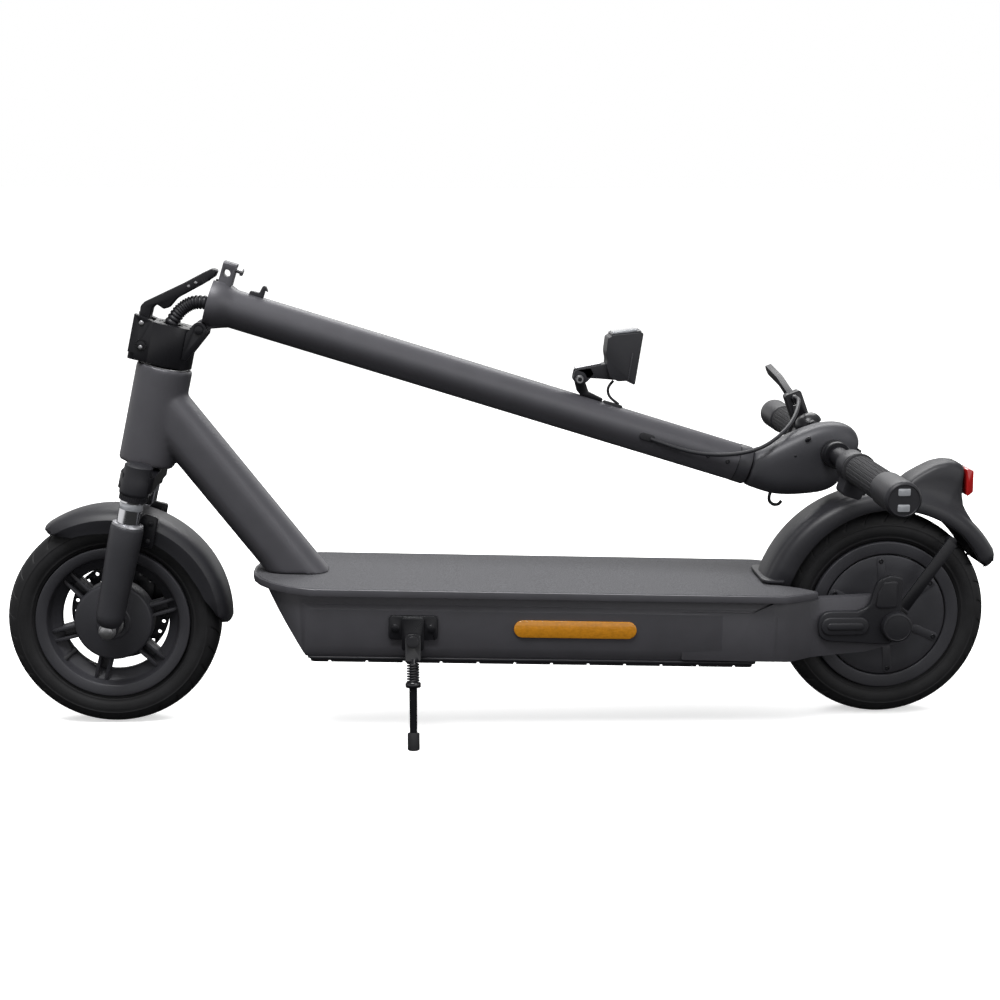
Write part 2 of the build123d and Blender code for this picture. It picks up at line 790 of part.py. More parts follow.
# Folding base on top of the steerer: two hinge ears behind, two latch cheeks in front.
base_low = 318
base_high = 366.5
ear_radius = 9
pin_radius = 5
ear_inner = 14.8
with BuildPart() as fold_base:
    with BuildSketch(steer.offset(base_low)):
        Circle(31)
        with Locations((14, 0)):
            RectangleRounded(58, 48, 8)
    extrude(amount=base_high - base_low)
    with BuildSketch(steer_side.offset(-ear_inner)):
        with BuildLine():
            Polyline((-20, 330), (-26, 330), (-42, 362), (-42, 368))
            ThreePointArc((-42, 368), (-hinge_behind, hinge_height + ear_radius), (-24.5, 370))
            Polyline((-24.5, 370), (-20, 362), (-20, 330))
        make_face()
    extrude(amount=-11)
    mirror(about=Plane.XZ)
    with BuildSketch(steer_side.offset(-12)):
        with BuildLine():
            Polyline((22, 326), (43, 326), (43, 371), (22, 367), close=True)
        make_face()
    extrude(amount=-12)
    mirror(about=Plane.XZ)
    with BuildSketch(steer_side):
        with BuildLine():
            Polyline((21, 331), (60, 331), (60, 380), (21, 380), close=True)
        make_face()
    extrude(amount=12, both=True, mode=Mode.SUBTRACT)
    with BuildSketch(steer_side):
        with Locations((-hinge_behind, hinge_height)):
            Circle(ear_radius + 3.5)
        with Locations((-hinge_behind - 10, hinge_height - 5)):
            Rectangle(20, 24)
    extrude(amount=ear_inner, both=True, mode=Mode.SUBTRACT)
    with BuildSketch(steer_side):
        with Locations((-hinge_behind, hinge_height)):
            Circle(pin_radius)
        with Locations((33, 362)):
            Circle(3)
    extrude(amount=40, both=True, mode=Mode.SUBTRACT)
    with BuildSketch(steer.offset(base_low)):
        Circle(steerer_radius)
    extrude(amount=base_high - base_low, mode=Mode.SUBTRACT)
pieces["fold_base"] = fold_base

latch_pivot = (33, 362)
with BuildPart() as hinge_pin:
    with BuildSketch(steer_side):
        with Locations((-hinge_behind, hinge_height)):
            Circle(pin_radius)
    extrude(amount=ear_inner + 13, both=True)
    with BuildSketch(steer_side):
        with Locations(latch_pivot):
            Circle(3)
    extrude(amount=26, both=True)
    with BuildSketch(steer_side.offset(-24)):
        with Locations((29, 334)):
            Circle(3.5)
    extrude(amount=-2)
pieces["hinge_pin"] = hinge_pin

# Latch lever: up from its pivot, then back over the base; a hook under its middle.
with BuildPart() as latch_lever:
    with BuildSketch(steer_side):
        with BuildLine():
            Polyline((38, 362), (40, 380), (36, 386), (-4, 417), (-24, 434), (-33, 440.5))
            ThreePointArc((-33, 440.5), (-39, 441), (-40, 435))
            Polyline((-40, 435), (-26, 420), (0.6, 397), (7, 385), (13, 382), (22, 386), (26, 380), (27, 362))
            ThreePointArc((27, 362), (33, 356.5), (38, 362))
        make_face()
        with Locations(latch_pivot):
            Circle(3 + running, mode=Mode.SUBTRACT)
    extrude(amount=10.5, both=True)
pieces["latch_lever"] = latch_lever

# ---------------------------------------------------------------- stem
tube_start = 12
stem_wall = 3
with BuildPart() as stem_tube:
    with BuildSketch(stem):
        with Locations((hinge_behind, 0)):
            Circle(30)
        with Locations((66, 0)):
            Rectangle(20, 24)
    extrude(amount=tube_start)
    with BuildSketch(stem.offset(5)):
        with Locations((70, 0)):
            RectangleRounded(30, 24, 3)
    extrude(amount=16)
    with BuildSketch(stem.offset(0)):
        with Locations((60, 0)):
            Rectangle(60, 26)
    extrude(amount=5, mode=Mode.SUBTRACT)
    with BuildSketch(stem.offset(tube_start)):
        with Locations((hinge_behind, 0)):
            Circle(30)
    with BuildSketch(stem.offset(tube_start + 18)):
        with Locations((hinge_behind, 0)):
            Circle(stem_radius)
    loft()
    with BuildSketch(stem.offset(tube_start)):
        with Locations((hinge_behind, 0)):
            Circle(stem_radius)
    extrude(amount=stem_length - tube_start)
    with BuildSketch(stem_side):
        with BuildLine():
            Polyline((0, 12), (-6, 6))
            ThreePointArc((-6, 6), (2, -8.7), (9, 2))
            Polyline((9, 2), (24, 14), (0, 12))
        make_face()
    extrude(amount=ear_inner - 0.4, both=True)
    with BuildSketch(stem.offset(6)):
        with Locations((hinge_behind, 0)):
            Circle(stem_radius - stem_wall)
    extrude(amount=stem_length, mode=Mode.SUBTRACT)
    with BuildSketch(stem.offset(-1)):
        with Locations((hinge_behind, 0)):
            Circle(9)
    extrude(amount=10, mode=Mode.SUBTRACT)
    for ear_side in (ear_inner - 0.4, -ear_inner - 13):
        with BuildSketch(stem_side.offset(ear_side)):
            Circle(ear_radius + 0.8)
        extrude(amount=13.4, mode=Mode.SUBTRACT)
    with BuildSketch(stem_side):
        Circle(pin_radius + running)
        with Locations((12, 72)):
            Circle(4.5)
    extrude(amount=30, both=True, mode=Mode.SUBTRACT)
pieces["stem_tube"] = stem_tube

# Small hardware on the stem: lock screw, rubber stop, cable grommets, a cable clip and
# the hook that holds the folded stem down.
stop_thick = 1.1
with BuildPart() as stem_fittings:
    with BuildSketch(stem.offset(21)):
        with Locations((78, 0)):
            Circle(3)
    extrude(amount=5)
    with BuildSketch(stem.offset(26)):
        with Locations((78, 0)):
            Circle(5)
    extrude(amount=4)
    with BuildSketch(stem.offset(-stop_thick)):
        with Locations((50, 0)):
            Circle(5)
    extrude(amount=stop_thick)
    with BuildSketch(stem_side):
        with BuildLine():
            Polyline((44, 55), (44, 61), (54, 61), (56, 70), (60, 70), (64, 64), (60, 66), (60, 55))
            Line((60, 55), (44, 55))
        make_face()
    extrude(amount=5, both=True)
    with BuildSketch(stem_side.offset(stem_radius - 1.5)):
        with Locations((545, 33)):
            SlotOverall(20, 9)
    extrude(amount=3.5)
    with BuildSketch(Plane(origin=stem.from_local_coords(Vector(hinge_behind + stem_radius - 1, 0, 496)),
                           x_dir=stem.z_dir, z_dir=stem.x_dir)):
        SlotOverall(26, 12)
    extrude(amount=3)
    with BuildSketch(stem_side):
        with Locations((724.5, 5)):
            Circle(10.5)
            Circle(6, mode=Mode.SUBTRACT)
        with Locations((732, 10)):
            Rectangle(12, 12, mode=Mode.SUBTRACT)
        with Locations((716, 9)):
            Rectangle(5, 9)
    extrude(amount=3, both=True)
pieces["stem_fittings"] = stem_fittings

# Cockpit: a bent shell that carries the handlebar ahead of the stem's line.
bar_radius = 11.1
with BuildPart() as cockpit_shell:
    with BuildSketch(stem_side):
        with BuildLine():
            Polyline((stem_length, 10.5), (714, 9.3), (735, 14), (775, 29), (789, 46), (798, 92))
            ThreePointArc((798, 92), (793, 110), (778, 118))
            Polyline((778, 118), (764, 117), (740, 106), (722, 92), (707, 78), (690, 62), (stem_length, 56.2))
            Line((stem_length, 56.2), (stem_length, 10.5))
        make_face()
    extrude(amount=26, both=True)
    with BuildSketch(stem_side):
        with Locations((bar_along, bar_above)):
            Circle(bar_radius)
    extrude(amount=40, both=True, mode=Mode.SUBTRACT)
pieces["cockpit_shell"] = cockpit_shell

# Display window and power button face the rider, on the cockpit's far end.
with BuildPart() as display:
    with BuildSketch(stem_side):
        with BuildLine():
            Polyline((795.5, 72), (798.5, 94), (801.5, 94), (799, 71), close=True)
        make_face()
    extrude(amount=20, both=True)
pieces["display"] = display

button_plane = Plane(origin=stem.from_local_coords(Vector(56, 0, 791.5)), x_dir=(0, 1, 0),
                     z_dir=(stem.z_dir * 0.974 - stem.x_dir * 0.225))
with BuildPart() as power_button:
    with BuildSketch(button_plane.offset(0.9)):
        Circle(7)
    extrude(amount=4)
pieces["power_button"] = power_button

with BuildPart() as handlebar:
    with BuildSketch(bar.offset(-bar_half + 12)):
        Circle(bar_radius)
        Circle(bar_radius - 2, mode=Mode.SUBTRACT)
    extrude(amount=2 * bar_half - 24)
pieces["handlebar"] = handlebar

grip_inner = 140
grip_outer = 252
grip_radius = 17.5
with BuildPart() as grips:
    with BuildSketch(bar.offset(grip_inner)):
        Circle(grip_radius)
        Circle(bar_radius, mode=Mode.SUBTRACT)
    extrude(amount=grip_outer - grip_inner)
    with BuildSketch(bar.offset(grip_inner)):
        Circle(grip_radius + 2)
        Circle(bar_radius, mode=Mode.SUBTRACT)
    extrude(amount=4)
    mirror(about=Plane.XZ)
pieces["grips"] = grips

with BuildPart() as bar_end_signals:
    with BuildSketch(bar.offset(grip_outer)):
        Circle(20)
        Circle(bar_radius, mode=Mode.SUBTRACT)
    extrude(amount=bar_half - grip_outer - 12)
    with BuildSketch(bar.offset(bar_half - 12)):
        Circle(20)
    extrude(amount=12)
    mirror(about=Plane.XZ)
pieces["bar_end_signals"] = bar_end_signals

# Bar fittings between the cockpit and the grips. A clamp plane has X along the stem.
with BuildPart() as switch_pod:
    with BuildSketch(bar.offset(104)):
        Circle(18)
        with Locations((4, -22)):
            RectangleRounded(24, 24, 5)
        Circle(bar_radius, mode=Mode.SUBTRACT)
    extrude(amount=30)
pieces["switch_pod"] = switch_pod

with BuildPart() as signal_switch:
    pod_face = bar.from_local_coords(Vector(16.4, -24, 119))
    with BuildSketch(Plane(origin=pod_face, x_dir=(0, 1, 0), z_dir=bar.x_dir)):
        RectangleRounded(14, 9, 2)
    extrude(amount=5)
pieces["signal_switch"] = signal_switch

with BuildPart() as throttle_housing:
    with BuildSketch(bar.offset(-106)):
        Circle(18)
        Circle(bar_radius, mode=Mode.SUBTRACT)
    extrude(amount=16)
pieces["throttle_housing"] = throttle_housing

# Brake lever and its perch, forward and down from the right side of the bar.
reach_angle = 128
reach_dir = bar.x_dir * cos(radians(reach_angle)) + bar.y_dir * sin(radians(reach_angle))
perch_y = -124
lever_pivot = 48
perch_centre = bar_point + reach_dir * lever_pivot + Vector(0, perch_y, 0)
perch_side = Plane(origin=bar_point + Vector(0, perch_y, 0), x_dir=reach_dir, z_dir=(0, 1, 0))
lever_plane = Plane(origin=perch_centre, x_dir=(0, -1, 0), z_dir=Vector(0, -1, 0).cross(reach_dir))
with BuildPart() as brake_perch:
    with BuildSketch(perch_side.offset(-8)):
        Circle(17)
        with Locations((34, 0)):
            RectangleRounded(50, 22, 4)
        Circle(bar_radius, mode=Mode.SUBTRACT)
    extrude(amount=16)
    with BuildSketch(perch_side.offset(8)):
        with Locations((lever_pivot + 4, 0)):
            Circle(4.5)
    extrude(amount=10)
    with BuildSketch(lever_plane):
        Circle(9.5)
        with Locations((20, 0)):
            Rectangle(40, 30)
    extrude(amount=4.3, both=True, mode=Mode.SUBTRACT)
    with BuildSketch(lever_plane):
        Circle(3)
    extrude(amount=11, both=True)
pieces["brake_perch"] = brake_perch

with BuildPart() as brake_lever:
    with BuildSketch(lever_plane):
        with BuildLine():
            Polyline((0, 8), (-6, 4), (-6, -5), (6, -8), (22, 0), (52, 14), (104, 22))
            ThreePointArc((104, 22), (111, 29), (104, 36))
            Polyline((104, 36), (48, 27), (18, 14), (0, 8))
        make_face()
        Circle(3 + running, mode=Mode.SUBTRACT)
    extrude(amount=4, both=True)
pieces["brake_lever"] = brake_lever

# Thumb throttle on the right, below the bar.
with BuildPart() as throttle_lever:
    with BuildSketch(bar.offset(-113)):
        Circle(16)
        Circle(bar_radius + 0.4, mode=Mode.SUBTRACT)
    extrude(amount=5)
    with BuildSketch(bar.offset(-113)):
        with Locations((10, -24)):
            RectangleRounded(12, 26, 5)
        Circle(bar_radius + 0.4, mode=Mode.SUBTRACT)
    extrude(amount=5)
pieces["throttle_lever"] = throttle_lever

# Bell: a clamp round the bar, a dome above it and a spring striker at its side.
bell_y = -78
bell_side = Plane(origin=bar_point + Vector(0, bell_y, 0), x_dir=reach_dir, z_dir=(0, 1, 0))
bell_top = Plane(origin=bar_point + Vector(0, bell_y, 0) + reach_dir * 22, x_dir=(0, 1, 0), z_dir=reach_dir)
with BuildPart() as bell:
    with BuildSketch(bell_side.offset(-5)):
        Circle(14.5)
        with Locations((16, 0)):
            Rectangle(16, 12)
        Circle(bar_radius, mode=Mode.SUBTRACT)
    extrude(amount=10)
    with BuildSketch(bell_top):
        Circle(17)
    extrude(amount=5)
    with BuildSketch(bell_top.offset(5)):
        Circle(17)
    with BuildSketch(bell_top.offset(14)):
        Circle(9)
    loft()
pieces["bell"] = bell

with BuildPart() as bell_striker:
    with BuildSketch(bell_top.offset(0.5)):
        with Locations((22, 0)):
            RectangleRounded(9, 8, 2)
    extrude(amount=7)
pieces["bell_striker"] = bell_striker

# Headlight on its tilting bracket. The tilt pivot is at the bracket's lower end.
tilt_along = 447
tilt_above = 75
with BuildPart() as headlight_bracket:
    with BuildSketch(stem_side):
        with BuildLine():
            Polyline((tilt_along - 7, tilt_above), (449, 60), (455, 56.2), (482, 56.2), (482, 60), (463, 63))
            Line((463, 63), (tilt_along + 7, tilt_above))
            ThreePointArc(
                (tilt_along + 7, tilt_above), (tilt_along, tilt_above + 7), (tilt_along - 7, tilt_above),
            )
        make_face()
    extrude(amount=5, both=True)
    with BuildSketch(stem_side):
        with Locations((tilt_along, tilt_above)):
            Circle(3)
    extrude(amount=13, both=True)
    with BuildSketch(stem_side.offset(11.5)):
        with Locations((tilt_along, tilt_above)):
            Circle(5)
    extrude(amount=2.5)
pieces["headlight_bracket"] = headlight_bracket

lamp_half_width = 19
with BuildPart() as headlight_body:
    with BuildSketch(stem_side):
        with BuildLine():
            Polyline((474, 100), (462, 112), (460.5, 132), (466, 137), (495, 151), (502, 152), (512, 88))
            Polyline((512, 88), (500, 90), (491, 87), (478, 88), (474, 100))
        make_face()
    extrude(amount=lamp_half_width, both=True)
    with BuildSketch(stem_side):
        with BuildLine():
            Polyline((438, 84), (441, 72), (454, 72), (468, 82), (491, 87), (480, 102), (468, 100))
            Line((468, 100), (438, 84))
        make_face()
    extrude(amount=10, both=True)
    with BuildSketch(stem_side):
        with Locations((tilt_along, tilt_above)):
            Circle(9)
        with Locations((463, 66)):
            Rectangle(42, 20)
    extrude(amount=5.4, both=True, mode=Mode.SUBTRACT)
    with BuildSketch(stem_side):
        with Locations((tilt_along, tilt_above)):
            Circle(3 + running)
    extrude(amount=20, both=True, mode=Mode.SUBTRACT)
pieces["headlight_body"] = headlight_body

with BuildPart() as headlight_lens:
    with BuildSketch(stem_side):
        with BuildLine():
            Polyline((468, 138), (494, 150.4), (495, 153.5), (466.5, 140.5), close=True)
        make_face()
    extrude(amount=15, both=True)
pieces["headlight_lens"] = headlight_lens

# Cables. Each route is a list of points in the stem's frame: along, across, above.
brake_route = [
    (549, 24.5, 32.6), (583, 28.5, 31), (616, 30, 34), (650, 30.5, 44), (679, 29.5, 60), (700, 14, 80),
    (716, -12, 98), (725, -40, 113), (731, -70, 122), (734.5, -90, 124.5), (734.7, -106, 123.4),
]
light_route = [(488, 0, 84.4), (485, 0, 78.5), (484.5, 0, 72), (488, 0, 65.5), (495, 0, 61.5), (503, 0, 59)]


def rounded_route(points):
    """Straight runs joined by the largest tangent arcs that share each run."""
    radii = []
    for before, here, after in zip(points, points[1:], points[2:]):
        turn = (here - before).get_angle(after - here)
        shorter = min((here - before).length, (after - here).length)
        radii.append(0.45 * shorter / tan(radians(turn / 2)))
    print("radii", [round(r, 1) for r in radii])
    return FilletPolyline(*points, radius=radii)


def cable_points(route):
    """Route points in the part's frame."""
    return [stem.from_local_coords(Vector(above, across_y, along)) for along, across_y, above in route]


brake_line = rounded_route(cable_points(brake_route))
light_line = rounded_route(cable_points(light_route))
with BuildPart() as control_cables:
    with BuildSketch(Plane(origin=brake_line @ 0, z_dir=brake_line % 0)):
        Circle(2.5)
    sweep(path=brake_line)
    with BuildSketch(Plane(origin=light_line @ 0, z_dir=light_line % 0)):
        Circle(1.8)
    sweep(path=light_line)
pieces["control_cables"] = control_cables

# Corrugated conduit over the fold, from the base's top to the stem's end plate.
conduit_route = [(-35.5, -6), (-32, 8), (-25, 20), (-14.5, 29), (-1.8, 31)]
conduit_points = [stem.from_local_coords(Vector(above, 0, along)) for along, above in conduit_route]
conduit_line = rounded_route(conduit_points)
with BuildPart() as conduit:
    with BuildSketch(Plane(origin=conduit_line @ 0, z_dir=conduit_line % 0)):
        Circle(8.5)
    sweep(path=conduit_line)
pieces["conduit"] = conduit

for name, piece in pieces.items():
    piece.part.label = name
    export_step(piece.part, f"parts/{name}.step")
    print(name, len(piece.part.solids()), round(piece.part.volume / 1000, 1))
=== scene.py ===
import bpy
import bmesh
import json
from math import copysign, cos, pi, radians, sin
from mathutils import Matrix, Vector


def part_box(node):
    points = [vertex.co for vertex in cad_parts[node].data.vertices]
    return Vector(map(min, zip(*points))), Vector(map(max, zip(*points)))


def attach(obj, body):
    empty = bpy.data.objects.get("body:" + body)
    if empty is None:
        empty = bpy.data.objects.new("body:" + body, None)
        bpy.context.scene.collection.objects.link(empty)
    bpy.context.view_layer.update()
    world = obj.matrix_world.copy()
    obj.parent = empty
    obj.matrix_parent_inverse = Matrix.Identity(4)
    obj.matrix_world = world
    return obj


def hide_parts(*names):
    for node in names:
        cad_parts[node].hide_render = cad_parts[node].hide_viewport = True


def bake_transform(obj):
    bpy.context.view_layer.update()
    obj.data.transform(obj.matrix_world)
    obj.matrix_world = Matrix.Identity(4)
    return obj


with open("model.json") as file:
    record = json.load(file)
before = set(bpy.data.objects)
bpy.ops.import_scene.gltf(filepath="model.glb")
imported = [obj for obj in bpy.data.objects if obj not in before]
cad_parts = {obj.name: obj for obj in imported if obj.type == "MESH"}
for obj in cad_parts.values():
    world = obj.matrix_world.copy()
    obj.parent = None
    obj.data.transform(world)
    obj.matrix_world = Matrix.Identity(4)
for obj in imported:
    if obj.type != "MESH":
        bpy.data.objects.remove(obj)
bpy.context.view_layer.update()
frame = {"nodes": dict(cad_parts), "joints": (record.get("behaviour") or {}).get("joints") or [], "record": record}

# ------------------------------------------------------------------ places, from the frame
MM = 0.001
joints = {joint["name"]: joint for joint in frame["joints"]}


def middle(node):
    """Centre of a CAD node's box, in metres."""
    low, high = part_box(node)
    return (low + high) / 2


def local(origin, x_dir, z_dir):
    """Matrix from a piece's own millimetres to the row frame's metres."""
    z_axis = Vector(z_dir).normalized()
    x_axis = Vector(x_dir).normalized()
    matrix = Matrix((x_axis, z_axis.cross(x_axis), z_axis)).transposed().to_4x4()
    matrix.translation = Vector(origin)
    return matrix @ Matrix.Scale(MM, 4)


def polar(degrees_up):
    """Unit vector in the XZ plane, from +X towards +Z."""
    return Vector((cos(radians(degrees_up)), 0, sin(radians(degrees_up))))


AXLE_HEIGHT = 0.1275
RAKE = 12.7
STEM_SLOPE = 17.2
DECK_SLOPE = 1.5
front_axle = Vector((middle("front_rim").x, 0, AXLE_HEIGHT))
rear_axle = Vector((middle("motor_shell").x, 0, AXLE_HEIGHT))
hinge_point = Vector(joints["fold"]["pos_m"])
LEFT = Vector((0, 1, 0))
front_wheel = local(front_axle, (1, 0, 0), LEFT)
rear_wheel = local(rear_axle, (1, 0, 0), LEFT)
rear = local((rear_axle.x, 0, 0), (1, 0, 0), (0, 0, 1))
deck = local((rear_axle.x + 0.2, 0, 0.1715), polar(DECK_SLOPE), polar(90 + DECK_SLOPE))
steer = local(front_axle, polar(RAKE), polar(90 + RAKE))
stem = local(hinge_point, polar(90 + STEM_SLOPE), polar(180 + STEM_SLOPE))
# Side views: (along, above) on the stem seen from the left, (ahead, up) on the steering axis.
stem_side = local(hinge_point, polar(180 + STEM_SLOPE), LEFT)
stem_top = local(hinge_point, polar(180 + STEM_SLOPE), polar(90 + STEM_SLOPE))
steer_side = local(front_axle, polar(RAKE), -LEFT)
BAR_ALONG = 768
BAR_ABOVE = 81
bar_point = stem @ Vector((BAR_ABOVE, 0, BAR_ALONG))
bar = local(bar_point, polar(180 + STEM_SLOPE), LEFT)
HINGE_BEHIND = 33.3
STEM_RADIUS = 23.1
STEM_LENGTH = 676

# ------------------------------------------------------------------ camera, light, floor
scene = bpy.context.scene
scene.view_settings.view_transform = "Standard"


def make_camera():
    data = bpy.data.cameras.new("camera")
    data.sensor_width = 36
    data.lens = 60.02
    camera = bpy.data.objects.new("camera", data)
    yaw, pitch, roll = 0.0516, 0.1949, 0.0033
    turn = Matrix.Rotation(pi - yaw, 4, "Z") @ Matrix.Rotation(pi / 2 - pitch, 4, "X")
    camera.matrix_world = (
        Matrix.Translation((0.11106, 1.99052, 0.66346)) @ turn @ Matrix.Rotation(roll, 4, "Z")
    )
    scene.collection.objects.link(camera)
    scene.camera = camera


def area_light(name, place, target, size, power):
    data = bpy.data.lights.new(name, "AREA")
    data.shape = "RECTANGLE"
    data.size = size[0]
    data.size_y = size[1]
    data.energy = power
    lamp = bpy.data.objects.new(name, data)
    aim = Vector(target) - Vector(place)
    lamp.matrix_world = Matrix.Translation(place) @ aim.to_track_quat("-Z", "Y").to_matrix().to_4x4()
    scene.collection.objects.link(lamp)


def make_studio():
    world = bpy.data.worlds.new("studio")
    world.use_nodes = True
    tree = world.node_tree
    split = tree.nodes.new("ShaderNodeSeparateXYZ")
    tree.links.new(tree.nodes.new("ShaderNodeTexCoord").outputs["Generated"], split.inputs["Vector"])
    height = tree.nodes.new("ShaderNodeMapRange")
    height.inputs["From Min"].default_value = -1
    tree.links.new(split.outputs["Z"], height.inputs["Value"])
    sky = tree.nodes.new("ShaderNodeValToRGB")
    # Dark below the floor, white round the horizon, dimmer above it, bright overhead.
    stops = [(0, 0.03), (0.455, 0.05), (0.475, 1), (0.57, 1), (0.66, 0.34), (0.8, 0.34), (0.93, 1), (1, 1)]
    while len(sky.color_ramp.elements) < len(stops):
        sky.color_ramp.elements.new(0.5)
    for element, (place, grey) in zip(sky.color_ramp.elements, stops):
        element.position = place
        element.color = (grey, grey, grey, 1)
    tree.links.new(height.outputs["Result"], sky.inputs["Fac"])
    tree.links.new(sky.outputs["Color"], tree.nodes["Background"].inputs["Color"])
    tree.nodes["Background"].inputs["Strength"].default_value = 1.0
    scene.world = world
    area_light("key", (0.5, 1.1, 2.8), (0, 0, 0.2), (1.3, 1.3), 95)
    area_light("fill", (-1.8, 2.0, 1.4), (0, 0, 0.3), (1.6, 1.0), 14)
    area_light("back", (-0.4, -2.2, 2.2), (0, 0, 0.3), (2.6, 1.2), 60)
    mesh = bpy.data.meshes.new("floor")
    half = 60
    corners = [(-half, -half, 0), (half, -half, 0), (half, half, 0), (-half, half, 0)]
    mesh.from_pydata(corners, [], [(0, 1, 2, 3)])
    floor = bpy.data.objects.new("floor", mesh)
    scene.collection.objects.link(floor)
    paint = bpy.data.materials.new("floor_paper")
    paint.use_nodes = True
    shader = paint.node_tree.nodes["Principled BSDF"]
    shader.inputs["Base Color"].default_value = (0.85, 0.85, 0.85, 1)
    shader.inputs["Roughness"].default_value = 0.9
    shader.inputs["Emission Color"].default_value = (1, 1, 1, 1)
    shader.inputs["Emission Strength"].default_value = 0.55
    mesh.materials.append(paint)
    floor.visible_diffuse = False
    floor.visible_glossy = False


make_camera()
make_studio()

# ------------------------------------------------------------------ materials
ROUGH_SPREAD = 0.03


def surface(name, colour, rough, metal=0.0, coat=0.0, grain=None, mottle=(35, 0.05), gloss=0.5):
    """Principled material. grain is (cells per metre, bump height in mm); mottle is (scale, share)."""
    paint = bpy.data.materials.new(name)
    paint.use_nodes = True
    tree = paint.node_tree
    shader = tree.nodes["Principled BSDF"]
    shader.inputs["Metallic"].default_value = metal
    shader.inputs["Coat Weight"].default_value = coat
    shader.inputs["Specular IOR Level"].default_value = gloss
    where = tree.nodes.new("ShaderNodeTexCoord").outputs["Object"]
    cloud = tree.nodes.new("ShaderNodeTexNoise")
    cloud_scale, share = mottle
    cloud.inputs["Scale"].default_value = cloud_scale
    cloud.inputs["Detail"].default_value = 6
    tree.links.new(where, cloud.inputs["Vector"])
    tint = tree.nodes.new("ShaderNodeValToRGB")
    tint.color_ramp.elements[0].position = 0.3
    tint.color_ramp.elements[1].position = 0.7
    tint.color_ramp.elements[0].color = (*[c * (1 - share) for c in colour], 1)
    tint.color_ramp.elements[1].color = (*[min(1, c * (1 + share)) for c in colour], 1)
    tree.links.new(cloud.outputs["Fac"], tint.inputs["Fac"])
    tree.links.new(tint.outputs["Color"], shader.inputs["Base Color"])
    polish = tree.nodes.new("ShaderNodeMapRange")
    polish.inputs["To Min"].default_value = max(0.02, rough - ROUGH_SPREAD)
    polish.inputs["To Max"].default_value = min(1, rough + ROUGH_SPREAD)
    tree.links.new(cloud.outputs["Fac"], polish.inputs["Value"])
    tree.links.new(polish.outputs["Result"], shader.inputs["Roughness"])
    if grain:
        speck = tree.nodes.new("ShaderNodeTexNoise")
        speck.inputs["Scale"].default_value = grain[0]
        speck.inputs["Detail"].default_value = 3
        tree.links.new(where, speck.inputs["Vector"])
        bump = tree.nodes.new("ShaderNodeBump")
        bump.inputs["Distance"].default_value = grain[1] * MM
        tree.links.new(speck.outputs["Fac"], bump.inputs["Height"])
        tree.links.new(bump.outputs["Normal"], shader.inputs["Normal"])
    return paint


FINISH = {
    "frame_paint": surface(
        "graphite_powder_coat", (0.064, 0.063, 0.071), 0.44, 0.2, grain=(1400, 0.05), gloss=0.4
    ),
    "deck_grit": surface(
        "anti_slip_grit", (0.062, 0.062, 0.068), 0.85, grain=(900, 0.7), mottle=(700, 0.45)
    ),
    "black_plastic": surface("grained_plastic", (0.014, 0.014, 0.017), 0.46, grain=(1800, 0.06), gloss=0.35),
    "black_metal": surface("black_enamel", (0.008, 0.008, 0.01), 0.34, 0.2, grain=(900, 0.03), gloss=0.4),
    "cast_grey": surface(
        "grey_casting_paint", (0.032, 0.032, 0.037), 0.46, 0.15, grain=(1500, 0.07), gloss=0.4
    ),
    "steel": surface("machined_steel", (0.4, 0.4, 0.41), 0.32, 1.0, grain=(700, 0.02)),
    "chrome": surface("hard_chrome", (0.6, 0.6, 0.62), 0.1, 1.0, mottle=(12, 0.03)),
    "alloy": surface("bare_aluminium", (0.42, 0.42, 0.44), 0.38, 1.0, grain=(900, 0.03)),
    "tyre_rubber": surface(
        "tyre_compound", (0.009, 0.009, 0.01), 0.62, grain=(1200, 0.06), mottle=(60, 0.2), gloss=0.3
    ),
    "grip_rubber": surface(
        "soft_rubber", (0.014, 0.014, 0.016), 0.7, grain=(1500, 0.08), mottle=(90, 0.2), gloss=0.3
    ),
    "amber": surface(
        "amber_reflector", (0.5, 0.2, 0.01), 0.2, coat=0.5, grain=(420, 0.35), mottle=(260, 0.12)
    ),
    "red_lens": surface("red_lens", (0.36, 0.01, 0.01), 0.14, coat=0.8, mottle=(120, 0.12)),
    "clear_lens": surface("lamp_lens", (0.3, 0.31, 0.33), 0.12, coat=1.0, mottle=(150, 0.15)),
    "gloss_black": surface("gloss_black", (0.006, 0.006, 0.008), 0.18, coat=0.4, gloss=0.4),
    "battery": surface("battery_sleeve", (0.03, 0.06, 0.16), 0.4, mottle=(40, 0.2)),
    "copper_core": surface("laminated_core", (0.4, 0.32, 0.26), 0.4, 0.9, mottle=(200, 0.2)),
}
slot_of = {entry["node"]: entry["material_slot"] for entry in frame["record"]["subparts"]}
body_of = {n: body for body, nodes in frame["record"]["behaviour"]["bodies"].items() for n in nodes}
shaped = set()


# ------------------------------------------------------------------ mesh tools
def dress(piece, node, slot=None, smooth=35):
    """Gives a new piece its finish and shading, and puts it on the node's body."""
    slot = slot or slot_of[node]
    piece.data.materials.clear()
    piece.data.materials.append(FINISH[slot])
    piece.data.shade_smooth()
    piece.data.set_sharp_from_angle(angle=radians(smooth))
    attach(piece, body_of[node])


def applied(piece, *steps):
    """Applies modifiers, each given as (type, settings), and keeps only their result."""
    for index, (kind, settings) in enumerate(steps):
        modifier = piece.modifiers.new(f"step{index}", kind)
        for key, value in settings.items():
            setattr(modifier, key, value)
    graph = bpy.context.evaluated_depsgraph_get()
    mesh = bpy.data.meshes.new_from_object(piece.evaluated_get(graph))
    piece.modifiers.clear()
    piece.data = mesh


